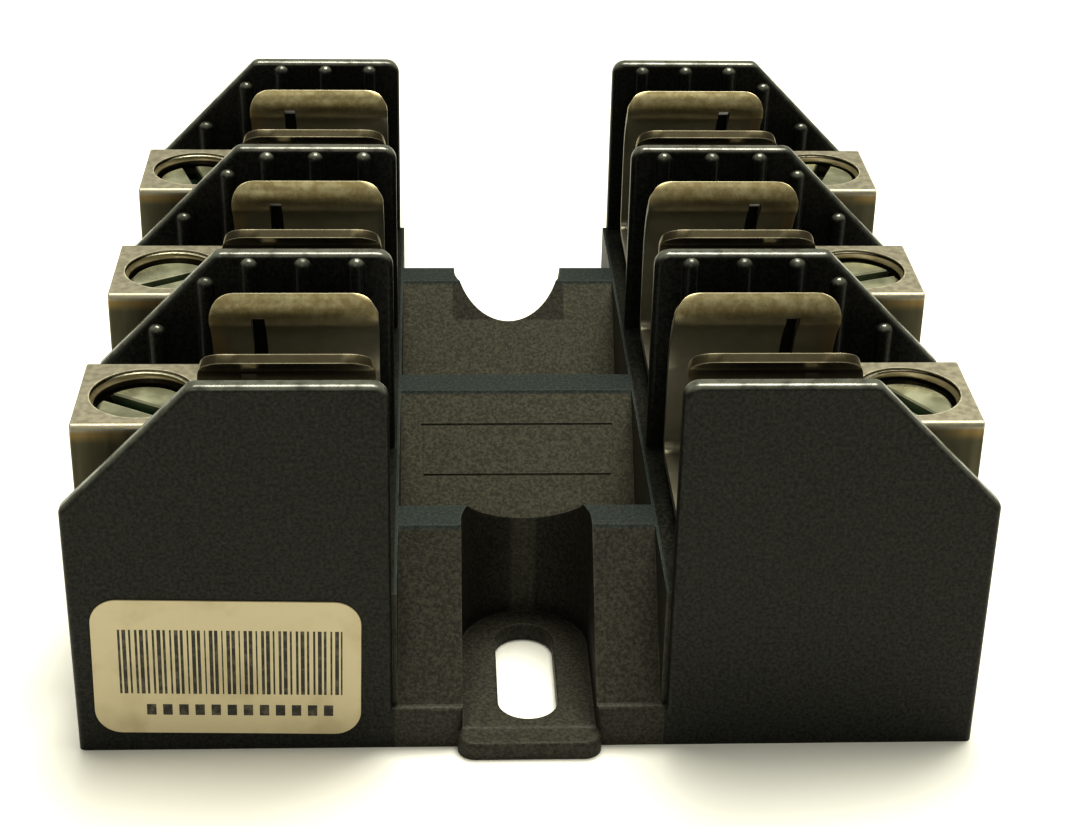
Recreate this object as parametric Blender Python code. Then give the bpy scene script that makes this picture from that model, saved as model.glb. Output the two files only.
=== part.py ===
"""Three-pole open holder for 14.3 mm x 50.8 mm ferrule cartridge fuses.

A black moulded base carries, for each pole, two sprung fuse clips that face each
other across the middle. Each clip has a steel reinforcing spring round it, is held by
a screw from below, and ends in a tail that lies inside an aluminium box lug, where a
slotted terminal screw clamps the wire on it. Slots in two end feet take the fixing
screws. Metres, +Z up, X along a fuse, Y across the poles.
Origin: centre of the footprint, on the plane that the base rests on.
"""
import math

import bmesh
import bpy
from mathutils import Vector

MM = 0.001

# --- driving dimensions ---------------------------------------------------------------
GAP = 0.3 * MM                  # clearance kept between touching pieces
OVERRUN = 1.0 * MM              # how far a cutter reaches past the surface that it cuts
PITCH = 23.6 * MM               # pole to pole
POLES = {"front": -PITCH, "middle": 0.0, "rear": PITCH}
SIDES = {"left": math.pi, "right": 0.0}

# barrier walls
HALF_LENGTH = 35.5 * MM
WALL = 1.5 * MM
WALL_TOP = 32.2 * MM
SHOULDER_Z = 21.8 * MM          # where the sloped outer edge starts
SLOPE_TOP_X = 25.3 * MM
WALL_INNER_X = 10.8 * MM
SILL_Z = 3.6 * MM               # low sill that joins the two halves of an end wall
INNER_SILL_DROP = 0.2 * MM      # the sills of the two inner walls are this much lower
TOP_CORNER_R = 1.3 * MM
SLOPE_CORNER_R = 1.0 * MM
EDGE_ROUND = 0.35 * MM

# blocks that carry the clips and lugs
BLOCK_INNER_X = 10.4 * MM
BLOCK_OUTER_X = 35.1 * MM
CLIP_SEAT_Z = 13.9 * MM
LUG_SEAT_Z = 10.2 * MM
STEP_X = 24.5 * MM

# middle web: one ridge for each pole, with flanks at 45 degrees
RIDGE_HALF_TOP = 1.55 * MM
RIDGE_RUN = 10.35 * MM
WEB_LAP = 0.2 * MM              # the web runs this far into the blocks

# fixing feet, their slots and the screw channels above them
FOOT_HALF = 5.7 * MM
FOOT_LAP = 4.0 * MM             # the feet run this far in under the end walls
FOOT_OUT = 1.8 * MM
FOOT_Z = 1.5 * MM
FOOT_CORNER = 1.4 * MM
CHANNEL_R = 5.3 * MM
CHANNEL_FLOOR = 1.6 * MM
CHANNEL_LENGTH = 17.1 * MM
SLOT_R = 2.4 * MM
SLOT_START = 1.35 * MM
SLOT_END = 15.0 * MM

# hollows under the base
SKIN = 3.5 * MM
POCKET_INNER_X = 13.0 * MM
POCKET_STEP_X = 22.0 * MM
POCKET_OUTER_X = 32.4 * MM
POCKET_HALF_Y = 9.7 * MM
POCKET_LOW_TOP = 7.0 * MM
RIDGE_POCKET_X = 8.4 * MM
RIDGE_POCKET_FOOT = (8.0 * MM, 2.0 * MM)
RIDGE_POCKET_TOP = (1.2 * MM, 9.0 * MM)

# ribs that stiffen the faces of the walls inside each bay
RIB_X = (13.8 * MM, 18.2 * MM, 22.6 * MM, 26.2 * MM, 30.4 * MM)
RIB_R = 0.75 * MM
RIB_ROOT = 0.4 * MM             # depth of a rib's root inside its wall
RIB_DROP = 0.5 * MM             # a rib ends this far under its wall's outline

# fuse clip
SHEET = 0.8 * MM
FERRULE_AXIS_Z = 23.3 * MM
CLIP_X = (11.9 * MM, 25.4 * MM)
CLIP_R = 7.65 * MM              # middle of the sheet, round the ferrule
CLIP_BASE_Z = 15.5 * MM
CLIP_BEND_R = 1.2 * MM
NECK_DEG = 53.0
NECK_STEP = (0.05 * MM, 0.55 * MM)
LIP_TIP = (5.72 * MM, 31.05 * MM)
LIP_TRIM = 0.1 * MM
CORNER_R = 2.0 * MM
CORNER_LOW_Z = 27.0 * MM
SPLIT_X = (20.95 * MM, 22.05 * MM)
SPLIT_Z = (18.8 * MM, 29.5 * MM)
CLIP_REACH_Y = 12.0 * MM        # cutters for the clip's sides end here
TAIL_HALF = 3.3 * MM
TAIL_Z = 12.9 * MM
TAIL_BEND_X = 25.2 * MM
TAIL_END_X = 33.8 * MM
TAIL_LAP = 2.0 * MM
TAIL_THIN = 0.02 * MM           # keeps the tail's root inside the sheet of the base

# reinforcing spring
SPRING = 0.6 * MM
SPRING_X = (12.5 * MM, 24.3 * MM)
SPRING_END_DEG = 38.0

# box lug
LUG_X = (26.1 * MM, 35.4 * MM)
LUG_HALF_Y = 5.4 * MM
LUG_Z = (10.5 * MM, 25.2 * MM)
LUG_EDGE = 0.4 * MM
WIRE_HALF_Y = 3.7 * MM
WIRE_Z = (12.2 * MM, 20.2 * MM)
WIRE_FLOOR_R = 0.5 * MM
WIRE_ROOF_R = 2.4 * MM
TAPPED_R = 4.1 * MM

# terminal screw
SCREW_X = 30.4 * MM
SCREW_R = 3.8 * MM
SCREW_TOP_Z = 24.15 * MM
SCREW_LENGTH = 5.05 * MM
SCREW_TIP = 0.8 * MM
SCREW_EDGE = 0.3 * MM
SCREW_SLOT = (1.3 * MM, 1.5 * MM)
SLOT_TURN_DEG = {
    ("left", "front"): -31.0, ("left", "middle"): 31.0, ("left", "rear"): 108.0,
    ("right", "front"): -56.0, ("right", "middle"): 20.0, ("right", "rear"): 69.0,
}

# clip screw
CLIP_SCREW_X = 18.65 * MM
SHANK_R = 2.08 * MM
SHANK_HOLE_R = 2.4 * MM
HEAD_R = 3.4 * MM
HEAD_HEIGHT = 2.2 * MM
HEAD_DOME = (0.9 * MM, 0.6 * MM)
HEAD_EDGE = (0.2 * MM, 0.3 * MM)
SHANK_EDGE = 0.4 * MM
SHANK_RECESS = 0.1 * MM         # the shank ends this far under the floor of the clip
HEAD_SLOT = (1.0 * MM, 0.9 * MM)
SLOT_REACH = 5.0 * MM           # half the length of the cutters for screw slots

# rating label on the front wall
LABEL_CENTRE = (-23.55 * MM, 7.75 * MM)
LABEL_SIZE = (20.7 * MM, 12.3 * MM)
LABEL_CORNER = 2.1 * MM
LABEL_SHEET = 0.2 * MM
LABEL_TILT_DEG = -1.2

END_Y = 1.5 * PITCH + WALL / 2  # outer face of an end wall


# --- outlines -------------------------------------------------------------------------
def arc(centre, radius, start_deg, end_deg, steps):
    """Points on a circle from one angle to another, both ends included."""
    points = []
    for i in range(steps + 1):
        angle = math.radians(start_deg + (end_deg - start_deg) * i / steps)
        points.append((centre[0] + radius * math.cos(angle), centre[1] + radius * math.sin(angle)))
    return points


def rounded(corners, steps=3):
    """Closed outline through (u, v, radius) corners, each turned by an arc of its radius."""
    outline = []
    count = len(corners)
    for i, (u, v, radius) in enumerate(corners):
        here = Vector((u, v))
        if radius == 0.0:
            outline.append((u, v))
            continue
        before = (Vector(corners[i - 1][:2]) - here).normalized()
        after = (Vector(corners[(i + 1) % count][:2]) - here).normalized()
        half = before.angle(after) / 2
        centre = here + (before + after).normalized() * (radius / math.sin(half))
        first = here + before * (radius / math.tan(half)) - centre
        last = here + after * (radius / math.tan(half)) - centre
        start = math.degrees(math.atan2(first.y, first.x))
        turn = math.degrees(math.atan2(last.y, last.x)) - start
        turn = (turn + 180.0) % 360.0 - 180.0
        outline += arc(centre, radius, start, start + turn, steps)
    return outline


def thickened(path, thickness):
    """Closed outline of a strip of even thickness whose middle line is the path."""
    left, right = [], []
    last = len(path) - 1
    for i, point in enumerate(path):
        here = Vector(point)
        ahead = (Vector(path[min(i + 1, last)]) - here)
        behind = (here - Vector(path[max(i - 1, 0)]))
        directions = [d.normalized() for d in (ahead, behind) if d.length > 1e-9]
        tangent = sum(directions, Vector((0.0, 0.0))).normalized()
        stretch = 1.0 / max(0.5, tangent.dot(directions[0]))
        normal = Vector((-tangent.y, tangent.x)) * thickness / 2 * stretch
        left.append(tuple(here + normal))
        right.append(tuple(here - normal))
    return left + right[::-1]


# --- solids ---------------------------------------------------------------------------
def prism(bm, outline, axis, low, high):
    """Add a closed prism: an outline drawn across the named axis, pushed from low to high."""
    def place(u, v, w):
        return {"X": (w, u, v), "Y": (u, w, v), "Z": (u, v, w)}[axis]
    rings = [[bm.verts.new(place(u, v, w)) for u, v in outline] for w in (low, high)]
    faces = [bm.faces.new(rings[0]), bm.faces.new(rings[1][::-1])]
    count = len(outline)
    for i in range(count):
        j = (i + 1) % count
        faces.append(bm.faces.new((rings[0][i], rings[1][i], rings[1][j], rings[0][j])))
    bmesh.ops.recalc_face_normals(bm, faces=faces)
    return faces


def box(bm, low, high):
    """Add a closed box between two corners."""
    outline = [(low[0], low[1]), (high[0], low[1]), (high[0], high[1]), (low[0], high[1])]
    return prism(bm, outline, "Z", low[2], high[2])


def lathe(bm, centre, profile, sides):
    """Add a closed turned shape: (radius, z) pairs turned about a vertical axis."""
    start = 360.0 / sides / 2
    rings = []
    for radius, z in profile:
        circle = arc(centre, radius, start, start + 360.0 * (sides - 1) / sides, sides - 1)
        rings.append([bm.verts.new((x, y, z)) for x, y in circle])
    faces = [bm.faces.new(rings[0]), bm.faces.new(rings[-1][::-1])]
    for lower, upper in zip(rings, rings[1:]):
        for i in range(sides):
            j = (i + 1) % sides
            faces.append(bm.faces.new((lower[i], upper[i], upper[j], lower[j])))
    bmesh.ops.recalc_face_normals(bm, faces=faces)
    return faces


def mesh_object(name, build, material=None):
    """Make one object whose mesh is filled in by the build function."""
    bm = bmesh.new()
    build(bm)
    bmesh.ops.recalc_face_normals(bm, faces=bm.faces)
    mesh = bpy.data.meshes.new(name)
    bm.to_mesh(mesh)
    bm.free()
    obj = bpy.data.objects.new(name, mesh)
    bpy.context.scene.collection.objects.link(obj)
    if material:
        mesh.materials.append(material)
    return obj


def boolean(obj, name, build, operation="DIFFERENCE"):
    """Join or cut the object with a helper solid, which isn't part of the model."""
    helper = mesh_object(name, build)
    helper.hide_render = True
    helper.display_type = "WIRE"
    modifier = obj.modifiers.new(name, "BOOLEAN")
    modifier.object = helper
    modifier.operation = operation
    modifier.solver = "EXACT"


def settle(obj):
    """Bake the object's modifiers into its mesh, so that its copies can share it."""
    depsgraph = bpy.context.evaluated_depsgraph_get()
    mesh = bpy.data.meshes.new_from_object(obj.evaluated_get(depsgraph))
    obj.modifiers.clear()
    obj.data = mesh
    return mesh


# --- materials ------------------------------------------------------------------------
def finish(name, colour, roughness, metallic):
    """Principled material with one colour, roughness and metallic value."""
    material = bpy.data.materials.new(name)
    material.use_nodes = True
    shader = material.node_tree.nodes["Principled BSDF"]
    shader.inputs["Base Color"].default_value = (*colour, 1.0)
    shader.inputs["Roughness"].default_value = roughness
    shader.inputs["Metallic"].default_value = metallic
    return material


# --- base moulding --------------------------------------------------------------------
def wall_top_at(x):
    """Height of a barrier wall's outline at a distance from the middle."""
    if x <= SLOPE_TOP_X:
        return WALL_TOP
    share = (x - SLOPE_TOP_X) / (HALF_LENGTH - SLOPE_TOP_X)
    return WALL_TOP + (SHOULDER_Z - WALL_TOP) * share


def add_blocks(bm):
    """Two stepped blocks, one on each side, that carry the clips and lugs of all poles."""
    for side in (-1, 1):
        outline = [
            (side * BLOCK_INNER_X, 0.0), (side * BLOCK_OUTER_X, 0.0),
            (side * BLOCK_OUTER_X, LUG_SEAT_Z), (side * STEP_X, LUG_SEAT_Z),
            (side * STEP_X, CLIP_SEAT_Z), (side * BLOCK_INNER_X, CLIP_SEAT_Z),
        ]
        prism(bm, outline, "Y", -END_Y + WALL / 2, END_Y - WALL / 2)


def add_web(bm):
    """Ridged web between the blocks: a flat-topped ridge at each pole, 45 degree flanks."""
    outline = [(-PITCH - RIDGE_HALF_TOP - RIDGE_RUN, 0.0)]
    for y in POLES.values():
        run = RIDGE_HALF_TOP + RIDGE_RUN if y == -PITCH else PITCH / 2
        outline.append((y - run, CLIP_SEAT_Z - run + RIDGE_HALF_TOP))
        outline.append((y - RIDGE_HALF_TOP, CLIP_SEAT_Z))
        outline.append((y + RIDGE_HALF_TOP, CLIP_SEAT_Z))
    outline.append((PITCH + RIDGE_HALF_TOP + RIDGE_RUN, CLIP_SEAT_Z - RIDGE_RUN))
    outline.append((PITCH + RIDGE_HALF_TOP + RIDGE_RUN, 0.0))
    prism(bm, outline, "X", -BLOCK_INNER_X - WEB_LAP, BLOCK_INNER_X + WEB_LAP)


def add_walls(bm):
    """Four barrier walls. Each is one plate: two sloped halves joined by a low sill."""
    for number in range(4):
        y = (number - 1.5) * PITCH
        sill = SILL_Z if number in (0, 3) else SILL_Z - INNER_SILL_DROP
        half = [
            (WALL_INNER_X, sill, 0.0), (WALL_INNER_X, WALL_TOP, TOP_CORNER_R),
            (SLOPE_TOP_X, WALL_TOP, SLOPE_CORNER_R), (HALF_LENGTH, SHOULDER_Z, SLOPE_CORNER_R),
            (HALF_LENGTH, 0.0, 0.0),
        ]
        outline = rounded([(-u, v, r) for u, v, r in half[::-1]] + half)
        prism(bm, outline, "Y", y - WALL / 2, y + WALL / 2)
    rims = [e for e in bm.edges if is_rim(e)]
    bmesh.ops.bevel(bm, geom=rims, offset=EDGE_ROUND, segments=2, profile=0.5, affect="EDGES")


def is_rim(edge):
    """True for an edge that runs round a wall's face, other than along its foot."""
    a, b = (v.co for v in edge.verts)
    return abs(a.y - b.y) < 1e-7 and max(a.z, b.z) > 1e-7


def add_ribs(bm):
    """Half-round ribs on both walls of each bay, ending just under the wall's outline."""
    for y in POLES.values():
        for side in (-1, 1):
            for facing in (-1, 1):
                for x in RIB_X:
                    face_y = y + facing * (PITCH - WALL) / 2
                    start = 180.0 if facing > 0 else 0.0
                    outline = arc((side * x, face_y), RIB_R, start, start + 180.0, 4)
                    outline.append((outline[-1][0], face_y + facing * RIB_ROOT))
                    outline.append((outline[0][0], face_y + facing * RIB_ROOT))
                    top = wall_top_at(x + RIB_R) - RIB_DROP
                    prism(bm, outline, "Z", LUG_SEAT_Z - OVERRUN, top)


def add_feet(bm):
    """Feet that stand out under the end walls."""
    for end in (-1, 1):
        corners = [
            (-FOOT_HALF, end * (END_Y - FOOT_LAP), 0.0), (FOOT_HALF, end * (END_Y - FOOT_LAP), 0.0),
            (FOOT_HALF, end * (END_Y + FOOT_OUT), FOOT_CORNER),
            (-FOOT_HALF, end * (END_Y + FOOT_OUT), FOOT_CORNER),
        ]
        prism(bm, rounded(corners), "Z", 0.0, FOOT_Z)


def cut_channels(bm):
    """Round-ended channels that let a screwdriver reach the slots in the feet."""
    for end in (-1, 1):
        centre = (0.0, end * (END_Y - CHANNEL_LENGTH + CHANNEL_R))
        outline = arc(centre, CHANNEL_R, 180.0 if end > 0 else 0.0, 360.0 if end > 0 else 180.0, 16)
        outline.append((outline[-1][0], end * (END_Y + OVERRUN)))
        outline.append((outline[0][0], end * (END_Y + OVERRUN)))
        prism(bm, outline, "Z", CHANNEL_FLOOR, CLIP_SEAT_Z + OVERRUN)


def cut_slots(bm):
    """Round-ended slots through the floors of the channels."""
    for end in (-1, 1):
        near = end * (END_Y - SLOT_START - SLOT_R)
        far = end * (END_Y - SLOT_END + SLOT_R)
        low, high = min(near, far), max(near, far)
        outline = arc((0.0, high), SLOT_R, 0.0, 180.0, 10) + arc((0.0, low), SLOT_R, 180.0, 360.0, 10)
        prism(bm, outline, "Z", -OVERRUN, CHANNEL_FLOOR + OVERRUN)


def cut_pockets(bm):
    """Stepped hollows under each clip and lug, and one under the middle ridge."""
    for y in POLES.values():
        for side in (-1, 1):
            outline = [
                (side * POCKET_INNER_X, -OVERRUN), (side * POCKET_OUTER_X, -OVERRUN),
                (side * POCKET_OUTER_X, POCKET_LOW_TOP), (side * POCKET_STEP_X, POCKET_LOW_TOP),
                (side * POCKET_STEP_X, CLIP_SEAT_Z - SKIN), (side * POCKET_INNER_X, CLIP_SEAT_Z - SKIN),
            ]
            prism(bm, outline, "Y", y - POCKET_HALF_Y, y + POCKET_HALF_Y)
    (foot, foot_z), (top, top_z) = RIDGE_POCKET_FOOT, RIDGE_POCKET_TOP
    outline = [(-foot, -OVERRUN), (foot, -OVERRUN), (foot, foot_z),
               (top, top_z), (-top, top_z), (-foot, foot_z)]
    prism(bm, outline, "X", -RIDGE_POCKET_X, RIDGE_POCKET_X)


def cut_screw_holes(bm):
    """Clearance holes for the clip screws."""
    for y in POLES.values():
        for side in (-1, 1):
            low, high = CLIP_SEAT_Z - SKIN - OVERRUN, CLIP_SEAT_Z + OVERRUN
            lathe(bm, (side * CLIP_SCREW_X, y), [(SHANK_HOLE_R, low), (SHANK_HOLE_R, high)], 16)


def make_base(material):
    """The moulding, one solid."""
    base = mesh_object("base_moulding", add_walls, material)
    boolean(base, "rib_shape", add_ribs, "UNION")
    boolean(base, "block_shape", add_blocks, "UNION")
    boolean(base, "web_shape", add_web, "UNION")
    boolean(base, "foot_shape", add_feet, "UNION")
    boolean(base, "channel_cutter", cut_channels)
    boolean(base, "slot_cutter", cut_slots)
    boolean(base, "pocket_cutter", cut_pockets)
    boolean(base, "screw_hole_cutter", cut_screw_holes)
    return base


# --- clips and springs ----------------------------------------------------------------
def side_path(base_z, half_width, bend, end_deg, arc_steps):
    """Middle line of one half of a U, from the middle of its base up round the ferrule."""
    path = [(0.0, base_z)]
    path += arc((half_width - bend, base_z + bend), bend, -90.0, 0.0, 3)
    path += arc((0.0, FERRULE_AXIS_Z), half_width, 0.0, end_deg, arc_steps)
    return path


def both_halves(path):
    """The whole middle line, from one tip over the base to the other tip."""
    return [(-y, z) for y, z in path[:0:-1]] + path


def add_clip_sheet(bm):
    """U of sheet: flat base, upright sides, arcs over the ferrule, flared lips."""
    path = side_path(CLIP_BASE_Z, CLIP_R, CLIP_BEND_R, NECK_DEG, 5)
    path.append((path[-1][0] + NECK_STEP[0], path[-1][1] + NECK_STEP[1]))
    path.append(LIP_TIP)
    prism(bm, thickened(both_halves(path), SHEET), "X", CLIP_X[0], CLIP_X[1])


def keep_clip_outline(bm):
    """Round-cornered outline that the clip's upright sides are trimmed to."""
    low, high = CLIP_BASE_Z - SHEET / 2 - OVERRUN, LIP_TIP[1] + LIP_TRIM
    corners = [
        (CLIP_X[0] - OVERRUN, low, 0.0), (CLIP_X[1] + OVERRUN, low, 0.0),
        (CLIP_X[1] + OVERRUN, CORNER_LOW_Z, 0.0), (CLIP_X[1], CORNER_LOW_Z, 0.0),
        (CLIP_X[1], high, CORNER_R), (CLIP_X[0], high, CORNER_R),
        (CLIP_X[0], CORNER_LOW_Z, 0.0), (CLIP_X[0] - OVERRUN, CORNER_LOW_Z, 0.0),
    ]
    prism(bm, rounded(corners), "Y", -CLIP_REACH_Y, CLIP_REACH_Y)


def add_tail(bm):
    """Strip that steps down from the clip's base and runs into the lug."""
    half, root = SHEET / 2, SHEET / 2 - TAIL_THIN
    start_x = CLIP_X[1] - TAIL_LAP
    outline = [
        (start_x, CLIP_BASE_Z + root), (TAIL_BEND_X + half, CLIP_BASE_Z + root),
        (TAIL_BEND_X + half, TAIL_Z + half), (TAIL_END_X, TAIL_Z + half),
        (TAIL_END_X, TAIL_Z - half), (TAIL_BEND_X - half, TAIL_Z - half),
        (TAIL_BEND_X - half, CLIP_BASE_Z - root), (start_x, CLIP_BASE_Z - root),
    ]
    prism(bm, outline, "Y", -TAIL_HALF, TAIL_HALF)


def cut_split(bm):
    """Narrow split that divides each side into two fingers."""
    box(bm, (SPLIT_X[0], -CLIP_REACH_Y, SPLIT_Z[0]), (SPLIT_X[1], CLIP_REACH_Y, SPLIT_Z[1]))


def cut_clip_hole(bm):
    """Hole for the clip screw, through the base of a clip or a spring."""
    low, high = CLIP_SEAT_Z - OVERRUN, CLIP_BASE_Z + OVERRUN
    lathe(bm, (CLIP_SCREW_X, 0.0), [(SHANK_HOLE_R, low), (SHANK_HOLE_R, high)], 16)


def make_clip(material):
    """One fuse clip, at the middle pole on the right."""
    clip = mesh_object("fuse_clip_right_middle", add_clip_sheet, material)
    boolean(clip, "clip_outline_cutter", keep_clip_outline, "INTERSECT")
    boolean(clip, "clip_split_cutter", cut_split)
    boolean(clip, "tail_shape", add_tail, "UNION")
    boolean(clip, "clip_hole_cutter", cut_clip_hole)
    return clip


def add_spring_sheet(bm):
    """U of spring steel that hugs the outside of a clip."""
    offset = SHEET / 2 + GAP + SPRING / 2
    path = side_path(CLIP_BASE_Z - offset, CLIP_R + offset, CLIP_BEND_R + offset, SPRING_END_DEG, 4)
    prism(bm, thickened(both_halves(path), SPRING), "X", SPRING_X[0], SPRING_X[1])


def make_spring(material):
    """One reinforcing spring, at the middle pole on the right."""
    spring = mesh_object("reinforcing_spring_right_middle", add_spring_sheet, material)
    boolean(spring, "spring_hole_cutter", cut_clip_hole)
    return spring


# --- terminals ------------------------------------------------------------------------
def add_lug_body(bm):
    """Block of the lug, with small chamfers."""
    box(bm, (LUG_X[0], -LUG_HALF_Y, LUG_Z[0]), (LUG_X[1], LUG_HALF_Y, LUG_Z[1]))
    bmesh.ops.bevel(bm, geom=bm.edges[:], offset=LUG_EDGE, segments=1, affect="EDGES")


def cut_wire_way(bm):
    """Opening along the lug for the wire and the clip's tail."""
    low, high = WIRE_Z
    corners = [(-WIRE_HALF_Y, low, WIRE_FLOOR_R), (WIRE_HALF_Y, low, WIRE_FLOOR_R),
               (WIRE_HALF_Y, high, WIRE_ROOF_R), (-WIRE_HALF_Y, high, WIRE_ROOF_R)]
    prism(bm, rounded(corners), "X", LUG_X[0] - OVERRUN, LUG_X[1] + OVERRUN)


def cut_tapped_hole(bm):
    """Hole for the terminal screw: through the top, and on down the sides of the opening."""
    profile = [(TAPPED_R, TAIL_Z + SHEET / 2), (TAPPED_R, LUG_Z[1] + OVERRUN)]
    lathe(bm, (SCREW_X, 0.0), profile, 24)


def make_lug(material):
    """One box lug, at the middle pole on the right."""
    lug = mesh_object("box_lug_right_middle", add_lug_body, material)
    boolean(lug, "wire_way_cutter", cut_wire_way)
    boolean(lug, "tapped_hole_cutter", cut_tapped_hole)
    return lug


def add_terminal_screw(bm):
    """Headless screw about its own axis, with its top at zero height."""
    profile = [(SCREW_R - SCREW_TIP, -SCREW_LENGTH), (SCREW_R, -SCREW_LENGTH + SCREW_TIP),
               (SCREW_R, -SCREW_EDGE), (SCREW_R - SCREW_EDGE, 0.0)]
    lathe(bm, (0.0, 0.0), profile, 24)


def cut_terminal_slot(bm):
    """Screwdriver slot right across the top."""
    width, depth = SCREW_SLOT
    box(bm, (-SLOT_REACH, -width / 2, -depth), (SLOT_REACH, width / 2, OVERRUN))


def make_terminal_screw(material):
    """One terminal screw."""
    screw = mesh_object("terminal_screw_right_middle", add_terminal_screw, material)
    boolean(screw, "terminal_slot_cutter", cut_terminal_slot)
    return screw


def add_clip_screw(bm):
    """Pan-head screw, head down, with the seat of its head at zero height."""
    length = CLIP_BASE_Z + SHEET / 2 - SHANK_RECESS - (CLIP_SEAT_Z - SKIN - GAP)
    profile = [(HEAD_R - HEAD_DOME[0], -HEAD_HEIGHT), (HEAD_R - HEAD_EDGE[0], -HEAD_HEIGHT + HEAD_DOME[1]),
               (HEAD_R, -HEAD_EDGE[1]), (HEAD_R, 0.0), (SHANK_R, 0.0), (SHANK_R, length - SHANK_EDGE),
               (SHANK_R - SHANK_EDGE, length)]
    lathe(bm, (0.0, 0.0), profile, 16)


def cut_head_slot(bm):
    """Slot across the pan head."""
    width, depth = HEAD_SLOT
    box(bm, (-SLOT_REACH, -width / 2, -HEAD_HEIGHT - OVERRUN), (SLOT_REACH, width / 2, depth - HEAD_HEIGHT))


def make_clip_screw(material):
    """One clip screw."""
    screw = mesh_object("clip_screw_right_middle", add_clip_screw, material)
    boolean(screw, "head_slot_cutter", cut_head_slot)
    return screw


def make_label(material):
    """Rating label, a thin round-cornered card on the front wall."""
    width, height = LABEL_SIZE
    corners = [(-width / 2, -height / 2, LABEL_CORNER), (width / 2, -height / 2, LABEL_CORNER),
               (width / 2, height / 2, LABEL_CORNER), (-width / 2, height / 2, LABEL_CORNER)]
    label = mesh_object("rating_label", lambda bm: prism(bm, rounded(corners), "Y", 0.0, LABEL_SHEET), material)
    label.location = (LABEL_CENTRE[0], -END_Y - GAP - LABEL_SHEET, LABEL_CENTRE[1])
    label.rotation_euler = (0.0, math.radians(-LABEL_TILT_DEG), 0.0)


# --- assembly -------------------------------------------------------------------------
def place_copies(kind, mesh, local=(0.0, 0.0, 0.0), turn_deg=None):
    """Put one object of a shared mesh at each pole and side, under that place's empty."""
    for side in SIDES:
        for pole in POLES:
            obj = bpy.data.objects.new(f"{kind}_{side}_{pole}", mesh)
            bpy.context.scene.collection.objects.link(obj)
            obj.parent = bpy.data.objects[f"terminal_{side}_{pole}"]
            obj.location = local
            if turn_deg:
                obj.rotation_euler = (0.0, 0.0, math.radians(turn_deg[side, pole]))


def make_repeated():
    """Clips, springs, lugs and screws at all six places."""
    for side, turn in SIDES.items():
        for pole, y in POLES.items():
            empty = bpy.data.objects.new(f"terminal_{side}_{pole}", None)
            bpy.context.scene.collection.objects.link(empty)
            empty.location = (0.0, y, 0.0)
            empty.rotation_euler = (0.0, 0.0, turn)
    plated = finish("plated_clip", (0.30, 0.26, 0.19), 0.42, 0.8)
    steel = finish("spring_steel", (0.33, 0.32, 0.30), 0.38, 0.9)
    aluminium = finish("lug_aluminium", (0.58, 0.56, 0.50), 0.45, 0.8)
    zinc = finish("zinc_screw", (0.62, 0.61, 0.55), 0.35, 0.9)
    seat = CLIP_SEAT_Z - SKIN - GAP
    kinds = (
        ("fuse_clip", make_clip(plated), (0.0, 0.0, 0.0), None),
        ("reinforcing_spring", make_spring(steel), (0.0, 0.0, 0.0), None),
        ("box_lug", make_lug(aluminium), (0.0, 0.0, 0.0), None),
        ("terminal_screw", make_terminal_screw(zinc), (SCREW_X, 0.0, SCREW_TOP_Z), SLOT_TURN_DEG),
        ("clip_screw", make_clip_screw(zinc), (CLIP_SCREW_X, 0.0, seat), None),
    )
    for kind, pattern, local, turns in kinds:
        mesh = settle(pattern)
        bpy.data.objects.remove(pattern)
        place_copies(kind, mesh, local, turns)


def main():
    """Build the whole holder."""
    for obj in list(bpy.data.objects):
        bpy.data.objects.remove(obj)
    make_base(finish("moulded_black", (0.028, 0.027, 0.025), 0.5, 0.0))
    make_label(finish("label_paper", (0.72, 0.66, 0.50), 0.6, 0.0))
    make_repeated()


main()
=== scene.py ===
# %% [markdown]
# # An open holder for three cartridge fuses
#
# A fuse holder like this screws to the back of an electrical panel. One black moulding
# carries six sprung clips in three facing pairs, and each clip ends in a box lug whose
# slotted screw clamps a wire. The solids of every part come ready made, in the right
# place and at the right size. This script gives them their surfaces: rounded edges,
# threads, bent sheet, and finishes that are worked out by shader nodes.
#
# The first cell loads those solids.

# %% Load the frame
import math

import bpy
import numpy as np
from mathutils import Matrix, Vector


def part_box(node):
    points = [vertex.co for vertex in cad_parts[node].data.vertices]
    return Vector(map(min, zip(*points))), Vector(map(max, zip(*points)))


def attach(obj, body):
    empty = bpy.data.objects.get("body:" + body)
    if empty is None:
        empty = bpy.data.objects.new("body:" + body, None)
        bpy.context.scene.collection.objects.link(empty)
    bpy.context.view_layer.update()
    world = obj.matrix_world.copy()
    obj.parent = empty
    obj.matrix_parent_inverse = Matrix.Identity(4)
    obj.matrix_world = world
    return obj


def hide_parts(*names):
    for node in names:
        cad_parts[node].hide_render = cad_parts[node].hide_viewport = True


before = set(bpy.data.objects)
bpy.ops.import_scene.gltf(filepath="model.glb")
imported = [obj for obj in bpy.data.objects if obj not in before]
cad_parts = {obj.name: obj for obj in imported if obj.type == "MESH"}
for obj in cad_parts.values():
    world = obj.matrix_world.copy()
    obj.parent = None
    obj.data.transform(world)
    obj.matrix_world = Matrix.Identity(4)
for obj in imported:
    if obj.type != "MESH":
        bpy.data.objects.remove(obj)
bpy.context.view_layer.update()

MM = 0.001

# %% [markdown]
# ## Sizes
#
# Every size that a box can give is read from the frame, in millimetres. What a box can't
# give, such as the thickness of a wall or the slope of a ridge, is a named value here.
# Working in millimetres keeps the numbers the size that a maker would read off a caliper.

# %% Sizes from the frame
def box_mm(node):
    """Lowest and highest corner of a solid, in millimetres."""
    low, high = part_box(node)
    return np.array(low) / MM, np.array(high) / MM


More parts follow.
